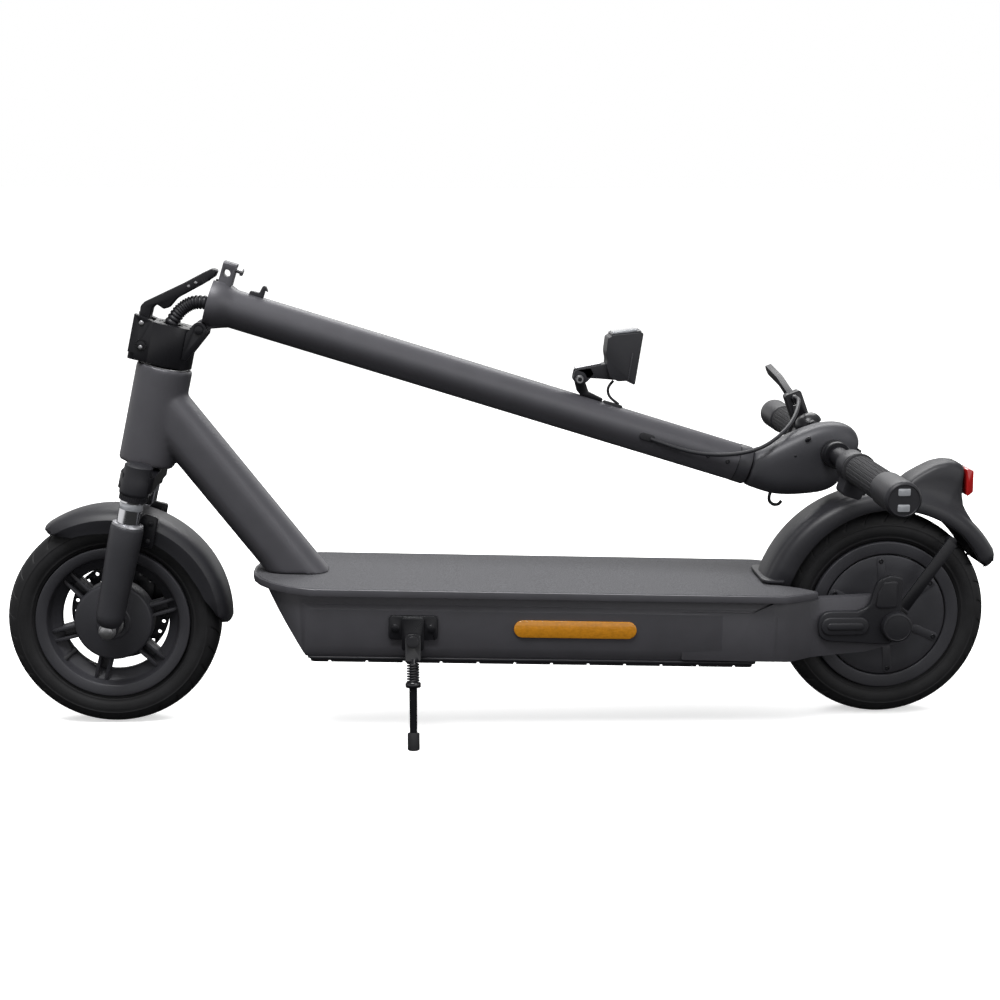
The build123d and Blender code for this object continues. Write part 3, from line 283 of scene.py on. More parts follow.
def rounding(width, angle=32, segments=3):
    """Bevel settings, with width in millimetres."""
    return (
        "BEVEL",
        {
            "width": width * MM,
            "segments": segments,
            "limit_method": "ANGLE",
            "angle_limit": radians(angle),
            "use_clamp_overlap": True,
            "miter_outer": "MITER_ARC",
        },
    )


def as_piece(name, bm):
    bmesh.ops.remove_doubles(bm, verts=bm.verts, dist=1e-6)
    bmesh.ops.recalc_face_normals(bm, faces=bm.faces)
    mesh = bpy.data.meshes.new(name)
    bm.to_mesh(mesh)
    bm.free()
    piece = bpy.data.objects.new(name, mesh)
    scene.collection.objects.link(piece)
    return piece


def softened(node, width=0.8, angle=32, slot=None):
    """A CAD node with its edges rounded, standing for the node."""
    bm = bmesh.new()
    bm.from_mesh(frame["nodes"][node].data)
    bmesh.ops.remove_doubles(bm, verts=bm.verts, dist=2e-6)
    bmesh.ops.dissolve_limit(bm, angle_limit=radians(0.6), verts=bm.verts, edges=bm.edges)
    piece = as_piece(f"{node}_shape", bm)
    applied(piece, rounding(width, angle, 2))
    dress(piece, node, slot)
    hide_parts(node)
    shaped.add(node)


for node, cad in frame["nodes"].items():
    cad.data.materials.clear()
    cad.data.materials.append(FINISH[slot_of[node]])



# ------------------------------------------------------------------ shape tools
def ring_of(bm, matrix, points):
    return [bm.verts.new(matrix @ Vector(point)) for point in points]


def skin(bm, rings, closed_across=True, closed_along=False):
    """Quads between one ring of vertices and the next."""
    pairs = list(zip(rings, rings[1:]))
    if closed_along:
        pairs.append((rings[-1], rings[0]))
    for one, two in pairs:
        count = len(one)
        for index in range(count if closed_across else count - 1):
            after = (index + 1) % count
            bm.faces.new((one[index], one[after], two[after], two[index]))


def lathe(bm, matrix, profile, steps=96, closed=False, start=0, sweep=360):
    """Turns (radius, height) points round local Z. Degrees go from local X towards local Y."""
    full = sweep == 360
    rings = []
    for step in range(steps if full else steps + 1):
        angle = radians(start + sweep * step / steps)
        rings.append(ring_of(bm, matrix, [(r * cos(angle), r * sin(angle), h) for r, h in profile]))
    skin(bm, rings, closed_across=closed, closed_along=full)
    if closed and not full:
        bm.faces.new(rings[0])
        bm.faces.new(rings[-1])


def prism(bm, matrix, outline, low, high):
    """Straight solid on a closed outline, from low to high along local Z."""
    bottom = ring_of(bm, matrix, [(x, y, low) for x, y in outline])
    top = ring_of(bm, matrix, [(x, y, high) for x, y in outline])
    skin(bm, [bottom, top])
    bm.faces.new(bottom)
    bm.faces.new(top)


def disc(bm, matrix, radius, low, high, place=(0, 0), sides=32):
    points = [
        (place[0] + radius * cos(2 * pi * k / sides), place[1] + radius * sin(2 * pi * k / sides))
        for k in range(sides)
    ]
    prism(bm, matrix, points, low, high)


def rounded(points, radius, steps=6):
    """Closed outline with its corners rounded. radius is one number, or one for each corner."""
    outline = []
    count = len(points)
    for index, here in enumerate(points):
        here = Vector(here)
        before = Vector(points[index - 1]) - here
        after = Vector(points[(index + 1) % count]) - here
        corner = radius[index] if isinstance(radius, (list, tuple)) else radius
        half = before.angle(after) / 2
        reach = min(corner / max(0.05, abs(sin(half) / cos(half))), before.length * 0.48, after.length * 0.48)
        start = here + before.normalized() * reach
        end = here + after.normalized() * reach
        for step in range(steps + 1):
            share = step / steps
            outline.append(tuple(start.lerp(here, share).lerp(here.lerp(end, share), share)))
    return outline


def slot_outline(long, wide, place=(0, 0), turn=0, steps=10):
    """Outline of a slot with round ends, its length turned by degrees."""
    half = long / 2 - wide / 2
    points = []
    for side in (0, 1):
        for step in range(steps + 1):
            angle = pi * step / steps - pi / 2 + pi * side
            x = wide / 2 * cos(angle) + (half if side == 0 else -half)
            y = wide / 2 * sin(angle)
            points.append((x, y))
    c, s = cos(radians(turn)), sin(radians(turn))
    return [(place[0] + x * c - y * s, place[1] + x * s + y * c) for x, y in points]


def smooth_line(points, steps=8):
    """Points of a Catmull-Rom curve through the given ones."""
    points = [Vector(point) for point in points]
    padded = [points[0] * 2 - points[1], *points, points[-1] * 2 - points[-2]]
    line = []
    for a, b, c, d in zip(padded, padded[1:], padded[2:], padded[3:]):
        for step in range(steps):
            t = step / steps
            bend = (2 * a - 5 * b + 4 * c - d) * t**2
            twist = (3 * b - a - 3 * c + d) * t**3
            line.append(0.5 * (2 * b + (c - a) * t + bend + twist))
    return [*line, points[-1]]


def tube(bm, matrix, line, radius, sides=16):
    """Round tube along a line. radius is one number, or a function of the share of its length."""
    rings = []
    normal = None
    for index, point in enumerate(line):
        ahead = (line[min(index + 1, len(line) - 1)] - line[max(index - 1, 0)]).normalized()
        if normal is None:
            normal = ahead.orthogonal().normalized()
        normal = (normal - ahead * normal.dot(ahead)).normalized()
        other = ahead.cross(normal)
        size = radius(index / (len(line) - 1)) if callable(radius) else radius
        turns = [2 * pi * k / sides for k in range(sides)]
        rings.append(ring_of(bm, matrix, [point + (normal * cos(a) + other * sin(a)) * size for a in turns]))
    skin(bm, rings)
    bm.faces.new(rings[0])
    bm.faces.new(rings[-1])


def finished(name, bm, node, *modifiers, slot=None, smooth=35, stands_for=True):
    """A piece from a finished bmesh: modifiers applied, dressed, riding, and replacing its node."""
    piece = as_piece(name, bm)
    if modifiers:
        applied(piece, *modifiers)
    dress(piece, node, slot, smooth)
    if stands_for:
        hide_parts(node)
        shaped.add(node)


def socket_screw(bm, matrix, radius, low, high, place):
    """Round screw head with a hexagonal socket."""
    centre = matrix @ Matrix.Translation((place[0], place[1], 0))
    key = radius * 0.5
    lathe(
        bm, centre,
        [(0, low), (radius, low), (radius, high - radius * 0.25), (radius * 0.8, high), (key, high)],
        steps=24,
    )
    lathe(bm, centre, [(key, high), (key * 0.95, high - radius * 0.5), (0, high - radius * 0.5)], steps=6)


# ------------------------------------------------------------------ wheels
TYRE_RADIUS = 127.5
RIM_RADIUS = 92


def make_tyre(node, wheel):
    """Tyre with bead and shoulder rings, and curved tread grooves that the grid lines follow."""
    pitches = 30
    groove_depth = 1.7
    fractions = [0, 0.05, 0.075, 0.115, 0.14, 0.3, 0.5, 0.55, 0.575, 0.615, 0.64, 0.8]
    side = smooth_line(
        [
            (19.5, 92.2), (22.3, 93.4), (23.6, 95.4), (25.2, 97), (25.4, 99), (27.2, 103), (27.9, 108),
            (27.4, 112), (27.6, 113.2), (26.6, 115), (23.6, 120.5), (18.6, 124.8), (12, 126.9), (6, 127.4),
            (0, TYRE_RADIUS),
        ],
        3,
    )
    section = [(p.x, p.y) for p in side] + [(-p.x, p.y) for p in reversed(side[:-1])]
    section += [(-14, 92.2), (-14, 96), (14, 96), (14, 92.2)]
    bm = bmesh.new()
    rings = []
    for pitch in range(pitches):
        for number, fraction in enumerate(fractions):
            points = []
            for across, height in section:
                far = abs(across)
                swing = 0.55 * (far / 24) ** 1.7
                angle = 2 * pi * (pitch + fraction + (swing if height > 98 else 0)) / pitches
                cut_here = number in (2, 3) if across > 0 else number in (8, 9)
                cut = groove_depth if cut_here and 3.5 < far and height > 117 else 0
                radius = height - cut
                points.append((radius * cos(angle), radius * sin(angle), across))
            rings.append(ring_of(bm, wheel, points))
    skin(bm, rings, closed_along=True)
    finished(f"{node}_tread", bm, node, smooth=28)


def make_front_rim():
    """Barrel with a lip on each side, six spokes of two ribs, and a wide hub disc."""
    bm = bmesh.new()
    lathe(
        bm, front_wheel,
        [
            (RIM_RADIUS, 27), (90.6, 27.4), (82, 25.4), (79.4, 24.2), (78.4, 22), (77, 14.5), (75, 12),
            (66.5, 7), (64.6, 5.5), (64.6, -4), (68, -6), (76, -9), (79, -22), (86, -26.5), (RIM_RADIUS, -27),
        ],
        steps=144, closed=True,
    )
    lathe(
        bm, front_wheel,
        [(14.2, 25.4), (20, 25.4), (21, 24.4), (43.5, 24.4), (45.6, 23.6), (47, 21.4), (47, 4), (47, -5),
         (26, -6), (20, -29.5), (14.2, -29.5)],
        steps=96, closed=True,
    )
    for spoke in range(6):
        turned = front_wheel @ Matrix.Rotation(radians(15 + 60 * spoke), 4, "Z")
        prism(bm, turned, rounded([(44, -8.5), (69, -8.5), (69, 8.5), (44, 8.5)], 0.5, 2), -4, 5)
        for offset in (-6.2, 6.2):
            side_on = turned @ Matrix.Translation((0, offset, 0)) @ Matrix.Rotation(pi / 2, 4, "X")
            prism(bm, side_on, [(43, 2), (78, 2), (78, 14), (70, 15.5), (52, 17.5), (43, 18)], -1.9, 1.9)
    finished("front_rim_casting", bm, "front_rim", rounding(0.7, 35, 2))
    bm = bmesh.new()
    valve = front_wheel @ Matrix.Rotation(radians(38), 4, "Z") @ Matrix.Translation((0, 0, 14))
    lean = valve @ Matrix.Translation((80, 0, 0)) @ Matrix.Rotation(-pi / 2 - 0.35, 4, "Y")
    stalk = [(4.6, 0), (4.4, 3), (3.1, 5), (2.9, 13), (3.4, 14), (3.4, 19.5), (2.6, 20.5), (0, 20.5)]
    lathe(bm, lean, stalk, steps=20)
    finished("tyre_valve", bm, "front_rim", slot="grip_rubber", stands_for=False)


def make_motor_covers():
    """Two dished discs with a ring joint near the edge and six screws on raised lugs."""
    bm = bmesh.new()
    screws = bmesh.new()
    for flip in (1, -1):
        face = rear_wheel if flip == 1 else rear_wheel @ Matrix.Rotation(pi, 4, "X")
        lathe(
            bm, face,
            [(16.5, 17), (16.5, 29.4), (22, 30), (24, 29), (25, 27), (27, 26.4), (60, 27.3), (74.6, 26.4),
             (75.4, 25.6), (75.4, 18)],
            steps=128, closed=True,
        )
        for lug in range(6):
            turned = face @ Matrix.Rotation(-radians(flip * 84 + 60 * lug), 4, "Z")
            prism(bm, turned, slot_outline(36, 10.5, (56, 0)), 25, 27.9)
            socket_screw(screws, turned, 3.1, 27.2, 28.9, (68.5, 0))
    finished("motor_cover_discs", bm, "motor_covers", rounding(0.6, 30, 2))
    finished("motor_cover_screws", screws, "motor_covers", slot="black_metal", stands_for=False)
    bm = bmesh.new()
    lathe(
        bm, rear_wheel,
        [
            (RIM_RADIUS, 27), (91, 27.6), (78, 26.8), (76.8, 25.8), (76.4, 20), (76.4, -20), (76.8, -25.8),
            (78, -26.8), (91, -27.6), (RIM_RADIUS, -27),
        ],
        steps=144, closed=True,
    )
    finished("motor_rim", bm, "motor_shell", rounding(0.4, 30, 2))


# ------------------------------------------------------------------ mudguards
def shell_loft(bm, wheel, angles, outer_at, thick):
    """Thin shell round a wheel. outer_at(angle) gives half the outer section from crown to skirt."""
    rings = []
    for angle in angles:
        half = outer_at(angle)
        inner = [(max(0, across - thick) if across else 0, radius - thick) for across, radius in half]
        inner[-1] = (half[-1][0] - thick, half[-1][1])
        loop = [(-a, r) for a, r in reversed(half[1:])] + half + inner[::-1] + [(-a, r) for a, r in inner[1:]]
        turn = -radians(angle)
        rings.append(ring_of(bm, wheel, [(r * cos(turn), r * sin(turn), a) for a, r in loop]))
    skin(bm, rings)
    bm.faces.new(rings[0])
    bm.faces.new(rings[-1])


def between(value, table):
    """Straight-line reading of a table of (value, result) rows."""
    if value <= table[0][0]:
        return table[0][1]
    for (v0, r0), (v1, r1) in zip(table, table[1:]):
        if value <= v1:
            return r0 + (r1 - r0) * (value - v0) / (v1 - v0)
    return table[-1][1]


def make_rear_fender():
    """Mudguard with deep skirts that rises into a hump for the tail light."""
    crown = 158
    hump = [(96, 0), (100, 16), (103, 25), (107.7, 39), (111, 46), (114, 49.4), (116.5, 49), (117.4, 47),
            (119, 33), (121.5, 19), (124.5, 9), (128, 4), (133, 0)]
    reach_back = 136

    def half(angle):
        rise = between(angle, hump)
        top = crown
        if angle > 120:
            top = min(crown, reach_back / cos(radians(180 - angle)))
        wide = between(angle, [(17, 37), (24, 40), (130, 40), (150, 37), (153, 34)])
        low = between(angle, [(17, 128), (40, 130), (80, 135), (130, 136), (148, 133), (153, 139)])
        return [
            (0, top + rise), (9, top + rise - 0.2), (15.5, top + rise * 0.985 - 0.6),
            (20, top + rise * 0.95 - 1.4), (22.6, top + rise * 0.86 - 2), (24, top + rise * 0.6 - 2.6),
            (25.5, top + rise * 0.3 - 3.2), (29, top + rise * 0.09 - 4), (wide - 6.5, top - 5.4),
            (wide - 2.6, top - 8.5), (wide - 0.6, top - 12.5), (wide, top - 17), (wide, low + 1),
            (wide - 0.4, low),
        ]

    bm = bmesh.new()
    # Sections stand closer together over the hump.
    angles = [17.5 + 1.5 * k for k in range(52)]
    angles += [96 + 0.75 * k for k in range(43)]
    angles += [129 + 1.5 * k for k in range(17)]
    angles = sorted(set(round(angle, 2) for angle in angles if angle <= 153))
    shell_loft(bm, rear_wheel, angles, half, 2.6)
    finished("rear_mudguard", bm, "rear_fender", smooth=42)
    bm = bmesh.new()
    foot = rounded([(133, -43), (160, -43), (160, 43), (133, 43)], [4, 14, 14, 4])
    foot_plane = rear @ Matrix.Rotation(-radians(DECK_SLOPE), 4, "Y")
    prism(bm, foot_plane, foot, 168.8, 172.6)
    finished("rear_mudguard_foot", bm, "rear_fender", rounding(1.2, 30, 2), stands_for=False)
    bm = bmesh.new()
    lens = rear @ Matrix.Rotation(pi / 2, 4, "X")
    prism(bm, lens, rounded([(-95.4, 309), (-104.4, 306.5), (-105, 280), (-97, 273)], 2.5), -20, 20)
    for rib in range(9):
        height = 303 - rib * 2.9
        prism(bm, lens, [(-103, height), (-105, height + 0.8), (-105, height - 0.6)], -18, 18)
    finished("tail_light_lens", bm, "tail_light", rounding(1, 30, 2))


def make_front_fender():
    """Mudguard with rounded ends, and a bolted bracket to each fork leg."""
    crown = 141
    skirt = [(57, 133), (61, 124), (68, 115), (85, 112), (150, 112), (165, 115), (174, 124), (180, 133)]

    def half(angle):
        low = between(angle, skirt)
        edge = max(low + 1, 127.5)
        narrow = between(angle, [(57, 12), (59, 5), (63, 1.5), (70, 0), (168, 0), (176, 2), (180, 9)])
        return [
            (0, crown), (12, crown - 0.3), (21, crown - 1.2), (28, crown - 3.2),
            (33 - narrow * 0.5, crown - 6.2), (36.2 - narrow * 0.8, crown - 9.8), (38 - narrow, edge + 1),
            (38 - narrow, edge), (36.6 - narrow, (edge + low) / 2), (36 - narrow, low),
        ]

    bm = bmesh.new()
    angles = [57, 58, 59.5, 61, 63, 65.5] + [68 + 2 * k for k in range(54)] + [176, 177.5, 179, 180]
    shell_loft(bm, front_wheel, angles, half, 2.4)
    finished("front_mudguard", bm, "front_fender", smooth=25)
    bm = bmesh.new()
    bolts = bmesh.new()
    for side in (1, -1):
        plate = steer @ Matrix.Translation((0, side * 41, 0)) @ Matrix.Rotation(pi / 2, 4, "X")
        prism(bm, plate, rounded([(-31, 104), (-11, 104), (-9, 134), (-13, 143), (-31, 143)], 4), -3.4, 3.4)
        for place in ((-24, 112), (-24, 134)):
            disc(bolts, plate, 3.4, -5.4, 5.4, place)
    for name, part, width in (("brackets", bm, 0.8), ("bolts", bolts, 0.6)):
        finished(
            f"front_mudguard_{name}", part, "front_fender", rounding(width, 30, 2), slot="black_metal",
            stands_for=False,
        )


# ------------------------------------------------------------------ fork
LEG_Y = 63.5


def make_fork():
    """Lower legs with a wiper ring, chrome stanchions, sleeves with a knurled collar, and the axle with its nuts.
    """
    legs, wipers, chrome, sleeves, bands = (bmesh.new() for _ in range(5))
    for side in (1, -1):
        leg = steer @ Matrix.Translation((0, side * LEG_Y, 0))
        lathe(
            legs, leg,
            [
                (0, 5), (10, 6), (14, 9.5), (16.4, 16), (16.6, 22), (18.2, 76), (19.2, 104), (19.3, 127),
                (18.6, 130.5), (14.2, 131),
            ],
            steps=64,
        )
        prism(
            legs, steer @ Matrix.Translation((0, side * 53.5, 0)) @ Matrix.Rotation(pi / 2, 4, "X"),
            rounded([(-11, -11), (11, -11), (11, 30), (-11, 30)], [10, 10, 2, 2]), -3.8, 3.8,
        )
        lip = [(13.8, 130), (17.8, 130), (18.4, 131.2), (17.6, 133.4), (15, 134.2), (13.8, 134.2)]
        lathe(wipers, leg, lip, steps=64, closed=True)
        lathe(chrome, leg, [(13.5, 120), (13.5, 176)], steps=64)
        band = [(13.55, 151), (13.75, 151.4), (13.75, 158.6), (13.55, 159)]
        lathe(bands, leg, band, steps=64, closed=True)
        lathe(
            sleeves, leg,
            [
                (13.6, 161.4), (15.4, 161.4), (15.6, 162), (15.6, 168), (17, 169.4), (17.3, 172), (17.3, 186),
                (16.4, 189), (16.4, 203), (14, 205), (0, 205),
            ],
            steps=64,
        )
        for tooth in range(36):
            turned = leg @ Matrix.Rotation(2 * pi * tooth / 36, 4, "Z")
            prism(sleeves, turned, [(15.3, -0.6), (16.2, -0.4), (16.2, 0.4), (15.3, 0.6)], 162.4, 167.6)
    finished("fork_legs", legs, "fork_lowers", rounding(0.8, 40, 2))
    finished("fork_wipers", wipers, "fork_lowers", slot="alloy", stands_for=False)
    finished("fork_stanchions", chrome, "stanchions")
    finished("fork_travel_bands", bands, "stanchions", slot="clear_lens", stands_for=False)
    finished("fork_sleeves", sleeves, "stanchion_sleeves", smooth=40)
    bm = bmesh.new()
    lathe(bm, front_wheel, [(0, 72), (4.6, 72), (6, 70.8), (6, 30)], steps=32)
    nut = [(9 * cos(pi * k / 3), 9 * sin(pi * k / 3)) for k in range(6)]
    for low in (64.8, -72):
        prism(bm, front_wheel, nut, low, low + 7)
    lathe(bm, front_wheel, [(6, 63.2), (10.4, 63.2), (10.4, 64.8), (6, 64.8)], steps=48, closed=True)
    lathe(bm, front_wheel, [(0, -73), (6, -73), (6, -30)], steps=32)
    for low, high in ((34.2, 49.5), (-49.5, -32)):
        lathe(bm, front_wheel, [(6, low), (9, low), (9, high), (6, high)], steps=32, closed=True)
    finished("front_axle_and_nuts", bm, "front_axle", rounding(0.6, 30, 2))


# ------------------------------------------------------------------ frame
def make_neck():
    """Head tube and down tube as one welded form, with the weld's fillet from smoothing."""
    bm = bmesh.new()
    bm.from_mesh(frame["nodes"]["neck_frame"].data)
    piece = as_piece("neck_weldment", bm)
    applied(
        piece,
        ("REMESH", {"mode": "VOXEL", "voxel_size": 0.0022}),
        ("SMOOTH", {"factor": 0.5, "iterations": 14}),
        ("DECIMATE", {"ratio": 0.35}),
    )
    dress(piece, "neck_frame", smooth=60)
    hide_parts("neck_frame")
    shaped.add("neck_frame")


def plate_outline(inset):
    """Half and mirrored outline of the deck plate, drawn in by an inset."""
    edge = 99 - inset
    tip = 573 - inset
    notch = -52 + inset
    front = [(tip, 12), (tip - 3, 30), (tip - 11, 50), (tip - 25, 70), (tip - 46, 87), (tip - 73, edge)]
    back = [(-62 + inset * 0.3, edge), (-105 + inset, 76), (-105 + inset, 68), (-88, 52 + inset), (notch, 34)]
    corners = [0.1, 4, 12, 16, 16, 18, 24, 22, 4, 4, 8, 10, 0.1]
    side = rounded([(tip, 0), *front, *back, (notch, 0)], corners, 4)
    side = [p for p in side if p[1] > 0.05]
    return side + [(x, -y) for x, y in reversed(side)]


def make_deck():
    """Deck plate, grit layer and tub, and side walls that curve in round the rear wheel."""
    bm = bmesh.new()
    prism(bm, deck, plate_outline(0), -8, 0)
    finished("deck_top_plate", bm, "deck_plate", rounding(2.6, 50, 3))
    bm = bmesh.new()
    prism(bm, deck, plate_outline(3.4), -0.5, 0.5)
    finished("deck_grit_layer", bm, "deck_mat", rounding(0.3, 50, 1))
    softened("deck_body", 2.2)
    bm = bmesh.new()
    outline = rounded(
        [
            (8, 149.6), (26, 163.6), (120, 159.5), (150, 159.5), (176, 147.6), (260, 149.8), (260, 91.2),
            (150, 87.6), (128, 85.6), (34, 94), (-14, 106), (-21, 123), (-12, 141),
        ],
        [6, 16, 60, 8, 8, 1, 1, 40, 30, 20, 14, 10, 10],
    )
    for low, high in ((-88.3, -58), (58, 88.3)):
        prism(bm, rear @ Matrix.Rotation(pi / 2, 4, "X"), outline, low, high)
    walls = as_piece("side_walls", bm)
    bend = [(60, 70.6), (100, 71.4), (116, 78), (134, 85.5), (150, 88.2), (200, 88.2), (260, 87.2)]
    bm = bmesh.new()
    bm.from_mesh(walls.data)
    bpy.data.objects.remove(walls)
    for cut in (40, 60, 80, 92, 100, 106, 112, 118, 124, 130, 136, 142, 150, 160, 175, 200, 215, 230, 245):
        everything = bm.verts[:] + bm.edges[:] + bm.faces[:]
        bmesh.ops.bisect_plane(bm, geom=everything, plane_co=rear @ Vector((cut, 0, 0)), plane_no=(1, 0, 0))
    for vert in bm.verts:
        if abs(vert.co.y) > 0.08:
            limit = between((vert.co.x - rear_axle.x) / MM, bend) * MM
            vert.co.y = limit if vert.co.y > 0 else -limit
    finished("rear_dropouts", bm, "rear_arms", rounding(1.4, 50, 2))


def make_axle_covers():
    """Boot-shaped cover with an oblong rib over each dropout, and a round cap over the nut."""
    boots, caps = bmesh.new(), bmesh.new()
    outline = rounded(
        [
            (94, 146), (94, 110), (6, 104), (-6, 120), (-6, 187), (8, 190), (24, 184), (29, 168), (33, 152),
            (46, 146),
        ],
        [17, 17, 12, 12, 4, 8, 12, 12, 14, 12],
    )
    for side in (1, -1):
        foot = -78.5 if side > 0 else 70.5
        plane = rear @ Matrix.Rotation(pi / 2, 4, "X") @ Matrix.Translation((0, 0, foot))
        prism(boots, plane, outline, 0, 8)
        out = -2.2 if side > 0 else 7
        prism(boots, plane, slot_outline(58, 22, (62, 128)), out, out + 3.2)
        rib = (out - 1.4, out + 3.2) if side > 0 else (out, out + 4.6)
        prism(boots, plane, slot_outline(44, 9, (62, 128)), *rib)
        prism(boots, plane, rounded([(0, 150), (0, 184), (18, 182), (24, 168), (26, 150)], 5), out, out + 3.2)
        cap = rear_wheel if side > 0 else rear_wheel @ Matrix.Rotation(pi, 4, "X")
        dome = [(12, 71), (18, 71), (18.3, 73), (18.3, 84.5), (17.2, 86.6), (15.6, 87.2), (15, 86.8), (0, 88.6)]
        lathe(caps, cap, dome, steps=64)
    finished("axle_boots", boots, "axle_covers", rounding(1.6, 40, 3))
    finished("axle_caps", caps, "axle_covers", stands_for=False)


def make_kickstand():
    """Black steel leg with a coil spring wound from real wire, a collar and a rubber foot."""
    hinge = joints["kickstand_fold"]
    pivot = Vector(hinge["pos_m"])
    axis = Vector(hinge["axis"])
    down = -axis.cross(Vector((1, 0, 0)))
    if down.z > 0:
        down = -down
    leg = local(pivot, (1, 0, 0), down)
    long = -pivot.z / down.z / MM
    bm = bmesh.new()
    tongue = local(pivot, (1, 0, 0), axis)
    toward = 1 if (tongue.inverted() @ (pivot + down * 0.02)).y > 0 else -1
    low, high = -9 * toward, 24 * toward
    prism(bm, tongue, rounded([(-9, low), (9, low), (9, high), (-9, high)], 5), -4, 4)
    lathe(
        bm, leg,
        [
            (0, 18), (4.4, 19), (4.4, 46), (8.2, 46.6), (9, 48), (9, 51.6), (8.2, 53), (4.6, 53.6),
            (4.3, long - 14), (0, long - 12),
        ],
        steps=32,
    )
    finished("kickstand_rod", bm, "kickstand_leg", rounding(0.6, 40, 2), slot="gloss_black")
    bm = bmesh.new()
    coils = 7
    steps = 24
    wire = []
    for step in range(coils * steps + 1):
        angle = 2 * pi * step / steps
        wire.append(Vector((6.4 * cos(angle), 6.4 * sin(angle), 24.5 + 21.5 * step / (coils * steps))))
    tube(bm, leg, wire, 1.15, 10)
    finished("kickstand_spring", bm, "kickstand_leg", slot="black_metal", stands_for=False, smooth=60)
    bm = bmesh.new()
    disc(bm, leg, 7, long - 19.5, long + 14)
    # The foot is cut off flat just above the floor.
    everything = bm.verts[:] + bm.edges[:] + bm.faces[:]
    ground = bmesh.ops.bisect_plane(
        bm, geom=everything, plane_co=(0, 0, 0.0003), plane_no=(0, 0, -1), clear_outer=True
    )
    rim = [edge for edge in ground["geom_cut"] if isinstance(edge, bmesh.types.BMEdge)]
    bmesh.ops.holes_fill(bm, edges=rim, sides=0)
    finished("kickstand_rubber_foot", bm, "kickstand_foot", rounding(0.8, 40, 2))


# ------------------------------------------------------------------ folding joint
def make_fold_joint():
    """Black base with rivets and a serrated rosette, and the latch lever over it."""
    softened("fold_base", 1.6, slot="black_metal")
    hinge_at = steer.inverted() @ hinge_point
    rosette = (29, 337)
    teeth = 20
    bm = bmesh.new()
    disc(bm, steer_side, 5, -27.8, 27.8, (hinge_at.x, hinge_at.z), 40)
    for turn in range(teeth):
        tooth = Matrix.Translation((*rosette, 0)) @ Matrix.Rotation(2 * pi * turn / teeth, 4, "Z")
        prism(bm, steer_side @ tooth, [(4.4, -0.7), (7.4, -0.4), (7.4, 0.4), (4.4, 0.7)], -25.2, -23.6)
    disc(bm, steer_side, 5, -25, -23.6, rosette)
    finished("hinge_bolt", bm, "hinge_pin", rounding(0.5, 35, 2), slot="black_metal")
    bm = bmesh.new()
    disc(bm, steer_side, 3, -25.6, 25.6, (33, 362), 24)
    disc(bm, steer_side, 2.6, -26, -24, (29, 334), 24)
    finished("fold_rivets", bm, "hinge_pin", rounding(0.9, 35, 3), slot="steel", stands_for=False)
    outline = rounded(
        [
            (38, 358), (40, 380), (36, 386), (-4, 417), (-24, 434), (-33, 441), (-40, 440), (-38, 432),
            (-26, 420), (0.6, 397), (7, 385), (13, 382), (22, 386), (26, 380), (27, 358),
        ],
        [6, 8, 8, 30, 30, 4, 4, 4, 20, 16, 3, 3, 7, 5, 5],
    )
    bm = bmesh.new()
    prism(bm, steer_side, outline, -10.4, 10.4)
    finished("latch_handle", bm, "latch_lever", rounding(1.8, 50, 3))
    bm = bmesh.new()
    for place in ((-17.8, 420.5), (-10.6, 414.6)):
        disc(bm, steer_side, 1.9, -11, 11, place, 20)
    finished("latch_rivets", bm, "latch_lever", rounding(0.5, 35, 2), slot="steel", stands_for=False)
    bm = bmesh.new()
    for back in (0, 2.6, 5.2):
        prism(bm, steer_side, slot_outline(10, 1, (-28.5 + back * 0.8, 429 - back * 0.61), 52), -10.8, 10.8)
    finished("latch_grip_ribs", bm, "latch_lever", slot="grip_rubber", stands_for=False)


def route_line(route, steps):
    """Smooth line of a cable from its route points, given as (along, across, above) on the stem."""
    curve = bpy.data.curves.new("route", "CURVE")
    curve.dimensions = "3D"
    spline = curve.splines.new("NURBS")
    spline.points.add(len(route) - 1)
    for point, (along, across, above) in zip(spline.points, route):
        point.co = (*(stem @ Vector((above, across, along))), 1)
    spline.order_u = 3
    spline.use_endpoint_u = True
    spline.resolution_u = steps
    holder = bpy.data.objects.new("route", curve)
    scene.collection.objects.link(holder)
    bpy.context.view_layer.update()
    mesh = bpy.data.meshes.new_from_object(holder.evaluated_get(bpy.context.evaluated_depsgraph_get()))
    line = [vert.co / MM for vert in mesh.vertices]
    bpy.data.objects.remove(holder)
    return line


WHOLE = Matrix.Scale(MM, 4)
BRAKE_ROUTE = [
    (549, 24.5, 32.6), (583, 28.5, 31), (616, 30, 34), (650, 30.5, 44), (679, 29.5, 60), (700, 14, 80),
    (716, -12, 98), (725, -40, 113), (731, -70, 122), (734.5, -90, 124.5), (734.7, -106, 123.4),
]
LIGHT_ROUTE = [(488, 0, 84.4), (485, 0, 78.5), (484.5, 0, 72), (488, 0, 65.5), (495, 0, 61.5), (503, 0, 59)]
CONDUIT_ROUTE = [(-35.5, 0, -6), (-32, 0, 8), (-25, 0, 20), (-14.5, 0, 29), (-1.8, 0, 31)]


